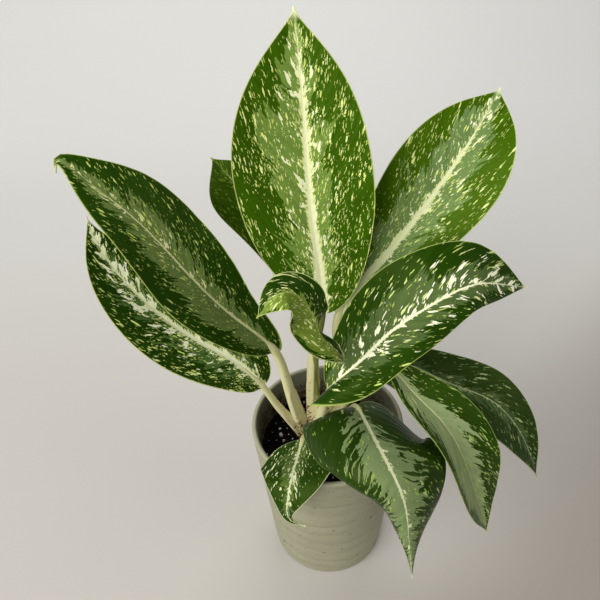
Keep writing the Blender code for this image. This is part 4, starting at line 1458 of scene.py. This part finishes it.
def soil_mesh():
    """The potting mix: a closed plug with a heaped, lumpy top."""
    draw = random.Random(SEED)
    bottom = POT_FLOOR + SOIL_GAP
    low_radius = wall_radius(bottom) - POT_WALL - SOIL_GAP
    top_radius = wall_radius(SOIL_TOP) - POT_WALL - SOIL_GAP
    waves = []
    for _ in range(SOIL_WAVES):
        scale = draw.uniform(*SOIL_WAVE_TURNS)
        turn = draw.uniform(0, FULL_TURN)
        phase = draw.uniform(0, FULL_TURN)
        size = SOIL_WAVE_SIZE / scale ** SOIL_WAVE_POWER
        waves.append((scale * math.cos(turn), scale * math.sin(turn), phase, size))

    def lump(x, y):
        return sum(size * math.sin(a * x + b * y + phase) for a, b, phase, size in waves) * SOIL_LUMP

    points = [(0, 0, bottom)]
    rings = [[0]]
    for ring, reach in enumerate([1.0] + list(np.linspace(1, 0, SOIL_RINGS + 1))):
        radius = (low_radius if ring == 0 else top_radius) * reach
        start = len(points)
        for i in range(SOIL_SIDES if reach > 0 else 1):
            turn = FULL_TURN * i / SOIL_SIDES
            x, y = radius * math.cos(turn), radius * math.sin(turn)
            calm = min(1.0, SOIL_EDGE_SHARE + (1 - reach) * SOIL_EDGE_RISE)
            points.append((x, y, bottom if ring == 0 else SOIL_TOP + lump(x, y) * calm))
        rings.append(list(range(start, len(points))))
    faces = []
    for lower, upper in zip(rings, rings[1:]):
        for i in range(SOIL_SIDES):
            j = (i + 1) % SOIL_SIDES
            if len(lower) == 1:
                faces.append((lower[0], upper[j], upper[i]))
            elif len(upper) == 1:
                faces.append((lower[i], lower[j], upper[0]))
            else:
                faces.append((lower[i], lower[j], upper[j], upper[i]))
    return mesh_from("soil_bed", points, faces)


def scatter_tree(name, subdivisions):
    """Lumps of random size, stretch and turn, sunk into the upward faces of the given surface."""
    inputs = {
        "Spacing": "NodeSocketFloat",
        "Smallest": "NodeSocketFloat",
        "Largest": "NodeSocketFloat",
        "Clear Radius": "NodeSocketFloat",
        "Seed": "NodeSocketInt",
        "Material": "NodeSocketMaterial",
    }
    tree = Shaping(name, inputs)
    seed = tree.given("Seed")
    spot = tree.node("GeometryNodeInputPosition")
    x, y, height = tree.split(spot)
    edge = wall_radius(SOIL_TOP) - POT_WALL - SCATTER_MARGIN
    from_axis = tree.maths("SQRT", x * x + y * y)
    from_cane = tree.maths("SQRT", (x - CROWN_CENTRE[0]) ** 2.0 + (y - CROWN_CENTRE[1]) ** 2.0)
    inside = tree.maths("LESS_THAN", from_axis, edge)
    clear = tree.maths("GREATER_THAN", from_cane, tree.given("Clear Radius"))
    high = tree.maths("GREATER_THAN", height, SOIL_TOP - SCATTER_DEPTH)
    points = tree.node("GeometryNodeDistributePointsOnFaces", {"distribute_method": "POISSON"}, {
        "Mesh": tree.given("Geometry"),
        "Distance Min": tree.given("Spacing"),
        "Density Max": SCATTER_DENSITY,
        "Density Factor": inside * clear * high,
        "Seed": seed,
    })
    lump = tree.node("GeometryNodeMeshIcoSphere", {}, {"Radius": 1.0, "Subdivisions": subdivisions})
    bumps = tree.noise(spot, *LUMP_BUMPS) + LUMP_BULK
    pushed = tree.node("ShaderNodeVectorMath", {"operation": "SCALE"}, {0: spot, "Scale": bumps})
    lump = tree.node("GeometryNodeSetPosition", {}, {"Geometry": lump, "Position": pushed})

    def drawn(kind, low, high, shift):
        """A random number or vector for each lump."""
        first, output = {"FLOAT_VECTOR": (0, 0), "FLOAT": (2, 1)}[kind]
        sockets = {"Seed": seed + shift, first: low, first + 1: high}
        return tree.node("FunctionNodeRandomValue", {"data_type": kind}, sockets, output)

    size = drawn("FLOAT", 0.0, 1.0, 1) ** LUMP_SIZE_POWER
    size = tree.given("Smallest") + (tree.given("Largest") - tree.given("Smallest")) * size
    stretch = drawn("FLOAT_VECTOR", LUMP_LEAST, LUMP_MOST, 2)
    scale = tree.node("ShaderNodeVectorMath", {"operation": "SCALE"}, {0: stretch, "Scale": size})
    turn = drawn("FLOAT_VECTOR", (0.0, 0.0, 0.0), LUMP_TURN, 3)
    sockets = {"Points": points, "Instance": lump, "Rotation": turn, "Scale": scale}
    tree.end(tree.node("GeometryNodeInstanceOnPoints", {}, sockets))
    return tree


def soil_finish(settings):
    """Dark damp potting mix with brown fibres in it."""
    finish = Finish("potting_mix")
    spot = finish.object_place()
    grain = finish.noise(spot, *SOIL_GRAIN)
    fibres = finish.step(finish.noise(spot, *SOIL_FIBRES), 0.60, 0.72)
    dark = tuple(settings.soil)
    skin = finish.mix(grain * 1.3 - 0.15, scaled(dark, 0.35), scaled(dark, 1.7))
    skin = finish.mix(fibres * 0.35, skin, display(48, 33, 22))
    finish.set(
        Base_Color=skin,
        Roughness=0.92 + grain * 0.05,
        Specular_IOR_Level=0.1,
        Normal=finish.bump(grain, 0.8, 0.8 * MM),
    )
    return finish.material


def grain_finish():
    """Pale porous mineral grains, dirty in scattered patches."""
    finish = Finish("mineral_grain")
    spot = finish.object_place()
    pores = finish.noise(spot, *GRAIN_PORES)
    dirt = finish.step(finish.noise(spot, *GRAIN_DIRT), 0.48, 0.66)
    skin = finish.mix(pores, display(150, 142, 124), display(214, 208, 192))
    skin = finish.mix(dirt * 0.7, skin, display(70, 56, 40))
    finish.set(
        Base_Color=skin,
        Roughness=0.8 + pores * 0.1,
        Normal=finish.bump(pores, 0.6, 0.3 * MM),
    )
    return finish.material


# Stage

def backdrop_mesh(settings):
    """A floor that rises in a wide curve into a wall behind the planter."""
    radius = settings.curve_radius
    profile = [(-settings.reach, 0.0), (settings.wall_place - radius, 0.0)]
    for step in range(1, CURVE_STEPS + 1):
        turn = math.pi / 2 * step / CURVE_STEPS
        back = settings.wall_place - radius + radius * math.sin(turn)
        profile.append((back, radius * (1 - math.cos(turn))))
    profile.append((settings.wall_place, settings.reach))
    points = []
    for y, z in profile:
        points += [(-settings.reach, y, z), (settings.reach, y, z)]
    faces = [(2 * i, 2 * i + 1, 2 * i + 3, 2 * i + 2) for i in range(len(profile) - 1)]
    return mesh_from("backdrop", points, faces)


def backdrop_finish(settings):
    """Matt pale paint, paler on the wall than on the floor, with painted shade darkening the floor towards
    the near right.
    """
    finish = Finish("pale_backdrop")
    spot = finish.object_place()
    cloudy = finish.noise(spot, *PAINT_CLOUDS)
    side, depth, _ = finish.split(spot)
    pale = finish.mix(finish.step(depth, *FLOOR_TO_WALL), tuple(settings.floor), tuple(settings.wall))
    # Painted shade: the floor darkens towards the near right
    near_right_shade = finish.step(side - depth, *TO_NEAR_RIGHT_SHADE) * 0.8
    pale = finish.mix(near_right_shade, pale, tuple(settings.near_right_shade))
    finish.set(Base_Color=finish.mix(cloudy * 0.06, pale, CLOUD_GREY), Roughness=0.85)
    return finish.material


def add_area_light(name, place, width, colour, power):
    light = bpy.data.lights.new(name, "AREA")
    light.shape = "SQUARE"
    light.size = width
    light.energy = power
    light.color = colour
    lamp = add_object(name, light)
    lamp.location = place
    lamp.rotation_euler = (Vector(LIGHT_TARGET) - Vector(place)).to_track_quat("-Z", "Y").to_euler()


def add_camera():
    """The camera at the photograph's viewing angle."""
    data = bpy.data.cameras.new("camera")
    data.lens = CAMERA_LENS
    data.sensor_width = CAMERA_SENSOR
    data.clip_start = 0.01
    forward = Vector((0, math.cos(CAMERA_PITCH), -math.sin(CAMERA_PITCH)))
    level = Vector((1, 0, 0))
    upright = level.cross(forward)
    right = level * math.cos(CAMERA_ROLL) + upright * math.sin(CAMERA_ROLL)
    up = upright * math.cos(CAMERA_ROLL) - level * math.sin(CAMERA_ROLL)
    camera = add_object("camera", data)
    turned = Matrix((right, up, -forward)).transposed().to_4x4()
    camera.matrix_world = Matrix.Translation(CAMERA_PLACE) @ turned
    bpy.context.scene.camera = camera


# Sizes and colours that a user would change

def a_number(name, description, default, **more):
    return FloatProperty(name=name, description=description, default=default, **more)


def a_length(name, description, default):
    return a_number(name, description, default, unit="LENGTH", precision=5)


def a_power(name, description, default):
    return a_number(name, description, default, unit="POWER")


def a_share(name, description, default):
    return a_number(name, description, default, subtype="FACTOR", min=0, max=1)


def a_colour(name, description, *parts):
    default = display(*parts)
    return FloatVectorProperty(name=name, description=description, default=default, subtype="COLOR")


def a_count(name, description, default, least):
    return IntProperty(name=name, description=description, default=default, min=least)


class StageSettings(bpy.types.PropertyGroup):
    reach: a_length("Reach", "Half width of the floor and height of the wall", 4.0)
    wall_place: a_length("Wall Place", "How far behind the planter the wall stands", 1.5)
    curve_radius: a_length("Curve Radius", "Radius of the curve from floor to wall", 0.9)
    floor: a_colour("Floor", "Colour of the floor", 198, 193, 186)
    wall: a_colour("Wall", "Colour of the wall", 225, 225, 222)
    # Colour of the painted shade on the floor at the near right
    near_right_shade: a_colour("Near Right", "Colour of the floor at the near right", 138, 131, 121)
    key_power: a_power("Key Light", "Power of the large light at the upper left", 56.0)
    fill_power: a_power("Fill Light", "Power of the weak light at the right", 4.5)
    top_power: a_power("Top Light", "Power of the light behind and above", 7.0)
    sky: a_number("Room Light", "Strength of the even light from all round", 0.22)


class PotSettings(bpy.types.PropertyGroup):
    sides: a_count("Sides", "Steps round the pot", 160, 24)
    rings: a_number("Throwing Rings", "Number of rings up the wall", 9.0)
    relief: a_length("Ring Relief", "How far the rings stand out", 1.1 * MM)
    wobble: a_length("Wobble", "Unevenness of the hand-thrown wall", 0.5 * MM)
    glaze: a_colour("Glaze", "Colour of the glaze", 148, 147, 120)
    speck: a_colour("Specks", "Colour of the specks in the glaze", 72, 60, 44)
    stain: a_colour("Stain", "Colour of the soil stain inside the wall", 62, 36, 18)


class SoilSettings(bpy.types.PropertyGroup):
    crumb_spacing: a_length("Crumb Spacing", "Least distance between two crumbs", 1.7 * MM)
    crumb_size: a_length("Largest Crumb", "Radius of the largest crumb", 2.2 * MM)
    grain_spacing: a_length("Grain Spacing", "Least distance between two pale grains", 5.5 * MM)
    grain_size: a_length("Largest Grain", "Radius of the largest pale grain", 2.3 * MM)
    soil: a_colour("Soil", "Colour of the damp potting mix", 9, 7, 5)


class StalkSettings(bpy.types.PropertyGroup):
    sides: a_count("Sides", "Steps round a stalk", 28, 8)
    groove: a_share("Groove", "Depth of the groove as a share of the radius", 0.16)
    sheath: a_share("Sheath", "How far up the stalk its sheath reaches", 0.5)
    cream: a_colour("Cream", "Colour of the stalks", 218, 215, 174)
    # Colour of the olive side, which is partly painted shade on the shaded side of the stalks
    olive_and_shade: a_colour("Olive", "Colour of the green side of the tallest stalk", 104, 112, 44)
    scar: a_colour("Scars", "Colour of the brown scars near the foot", 120, 76, 32)


class BladeSettings(bpy.types.PropertyGroup):
    rows: a_count("Rows", "Steps along a blade", 120, 16)
    columns: a_count("Columns", "Steps from midrib to margin", 20, 4)
    ripple: a_length("Ripple", "Height of the margin's small irregular waves", 0.35 * MM)
    vein_pitch: a_length("Vein Pitch", "Distance between two side veins", 6.5 * MM)


# Operators

class PLANTER_OT_stage(bpy.types.Operator):
    """Add the backdrop, the lights and the camera"""

    bl_idname = "planter.stage"
    bl_label = "Add Stage"

    def execute(self, context):
        settings = context.scene.planter_stage
        backdrop = add_object("backdrop", backdrop_mesh(settings))
        backdrop.data.shade_smooth()
        backdrop.data.materials.append(backdrop_finish(settings))
        for name, place, width, colour, power in LIGHTS:
            add_area_light(name, place, width, colour, getattr(settings, power))
        world = bpy.data.worlds.new("room_light")
        world.use_nodes = True
        sockets = world.node_tree.nodes["Background"].inputs
        sockets["Color"].default_value = ROOM_COLOUR
        sockets["Strength"].default_value = settings.sky
        context.scene.world = world
        context.scene.view_settings.view_transform = "Standard"
        add_camera()
        return {"FINISHED"}


class PLANTER_OT_pot(bpy.types.Operator):
    """Turn the ringed, glazed pot"""

    bl_idname = "planter.pot"
    bl_label = "Add Pot"

    def execute(self, context):
        settings = context.scene.planter_pot
        section = pot_section()
        edges = [(i, i + 1) for i in range(len(section) - 1)]
        mesh = mesh_from("thrown_pot", [(radius, 0, height) for radius, height, _ in section], [], edges)
        add_numbers(mesh, "ring_share", [share for _, _, share in section])
        pot = pot_tree().applied_to(
            add_object("thrown_pot", mesh),
            Sides=settings.sides,
            Rings=settings.rings,
            Relief=settings.relief,
            Wobble=settings.wobble,
            Material=glaze_finish(settings),
        )
        turn_outwards(pot.data)
        dress(pot, "pot_glaze", "pot")
        return {"FINISHED"}


class PLANTER_OT_soil(bpy.types.Operator):
    """Fill the pot with potting mix, crumbs and pale grains"""

    bl_idname = "planter.soil"
    bl_label = "Add Soil"

    def execute(self, context):
        settings = context.scene.planter_soil
        finish = soil_finish(settings)
        bed = add_object("soil_bed", soil_mesh())
        turn_outwards(bed.data)
        bed.data.shade_smooth()
        bed.data.materials.append(finish)
        crumbs = scatter_tree("soil_scatter", 1).applied_to(
            add_object("soil_crumbs", bed.data.copy()),
            Spacing=settings.crumb_spacing,
            Smallest=SMALLEST_CRUMB,
            Largest=settings.crumb_size,
            Clear_Radius=0.0,
            Seed=SEED,
            Material=finish,
        )
        grains = scatter_tree("grain_scatter", 2).applied_to(
            add_object("soil_grains", bed.data.copy()),
            Spacing=settings.grain_spacing,
            Smallest=SMALLEST_GRAIN,
            Largest=settings.grain_size,
            Clear_Radius=CANE_RADIUS + GRAIN_CLEARANCE,
            Seed=SEED + GRAIN_SEED_SHIFT,
            Material=grain_finish(),
        )
        dress(bed, "potting_mix", "soil")
        dress(crumbs, "potting_mix")
        dress(grains, "potting_mix")
        return {"FINISHED"}


class PLANTER_OT_stalks(bpy.types.Operator):
    """Sweep the twelve leaf stalks up from the crown"""

    bl_idname = "planter.stalks"
    bl_label = "Add Stalks"

    def execute(self, context):
        settings = context.scene.planter_stalks
        stalks = stalk_tree().applied_to(
            add_object("leaf_stalks", stalk_lines_mesh()),
            Sides=settings.sides,
            Groove=settings.groove,
            Sheath=settings.sheath,
            Material=stalk_finish(settings),
        )
        turn_outwards(stalks.data)
        dress(stalks, "stalks", "stem")
        return {"FINISHED"}


class PLANTER_OT_blades(bpy.types.Operator):
    """Add the twelve variegated blades"""

    bl_idname = "planter.blades"
    bl_label = "Add Blades"

    def execute(self, context):
        settings = context.scene.planter_blades
        for number, leaf in enumerate(LEAVES):
            pattern = PATTERNS[leaf.name]
            seed = number * LEAF_SHIFT
            blade = add_object(leaf.name.replace("leaf_", "blade_"), blade_mesh(leaf, settings))
            blade.data.materials.append(upper_finish(leaf, pattern, settings, seed))
            blade.data.materials.append(lower_finish(leaf, pattern, seed))
            dress(blade, "leaf_blades", leaf.name)
        return {"FINISHED"}


class PLANTER_PT_panel(bpy.types.Panel):
    """The planter's pieces and their settings"""

    bl_idname = "PLANTER_PT_panel"
    bl_label = "Potted Chinese Evergreen"
    bl_space_type = "VIEW_3D"
    bl_region_type = "UI"
    bl_category = "Planter"

    def draw(self, context):
        for operator, owner in STEPS:
            box = self.layout.box()
            settings = getattr(context.scene, owner)
            for name in settings.bl_rna.properties.keys():
                if name not in ("rna_type", "name"):
                    box.prop(settings, name)
            box.operator(operator)


STEPS = (
    ("planter.stage", "planter_stage"),
    ("planter.pot", "planter_pot"),
    ("planter.soil", "planter_soil"),
    ("planter.stalks", "planter_stalks"),
    ("planter.blades", "planter_blades"),
)

OWNERS = {
    "planter_stage": StageSettings,
    "planter_pot": PotSettings,
    "planter_soil": SoilSettings,
    "planter_stalks": StalkSettings,
    "planter_blades": BladeSettings,
}

CLASSES = (
    *OWNERS.values(),
    PLANTER_OT_stage,
    PLANTER_OT_pot,
    PLANTER_OT_soil,
    PLANTER_OT_stalks,
    PLANTER_OT_blades,
    PLANTER_PT_panel,
)


def register():
    for kind in CLASSES:
        bpy.utils.register_class(kind)
    for owner, kind in OWNERS.items():
        setattr(bpy.types.Scene, owner, PointerProperty(type=kind))


def unregister():
    for owner in OWNERS:
        delattr(bpy.types.Scene, owner)
    for kind in reversed(CLASSES):
        bpy.utils.unregister_class(kind)


def main():
    register()
    for operator, _ in STEPS:
        group, name = operator.split(".")
        getattr(getattr(bpy.ops, group), name)()


if __name__ == "__main__":
    main()
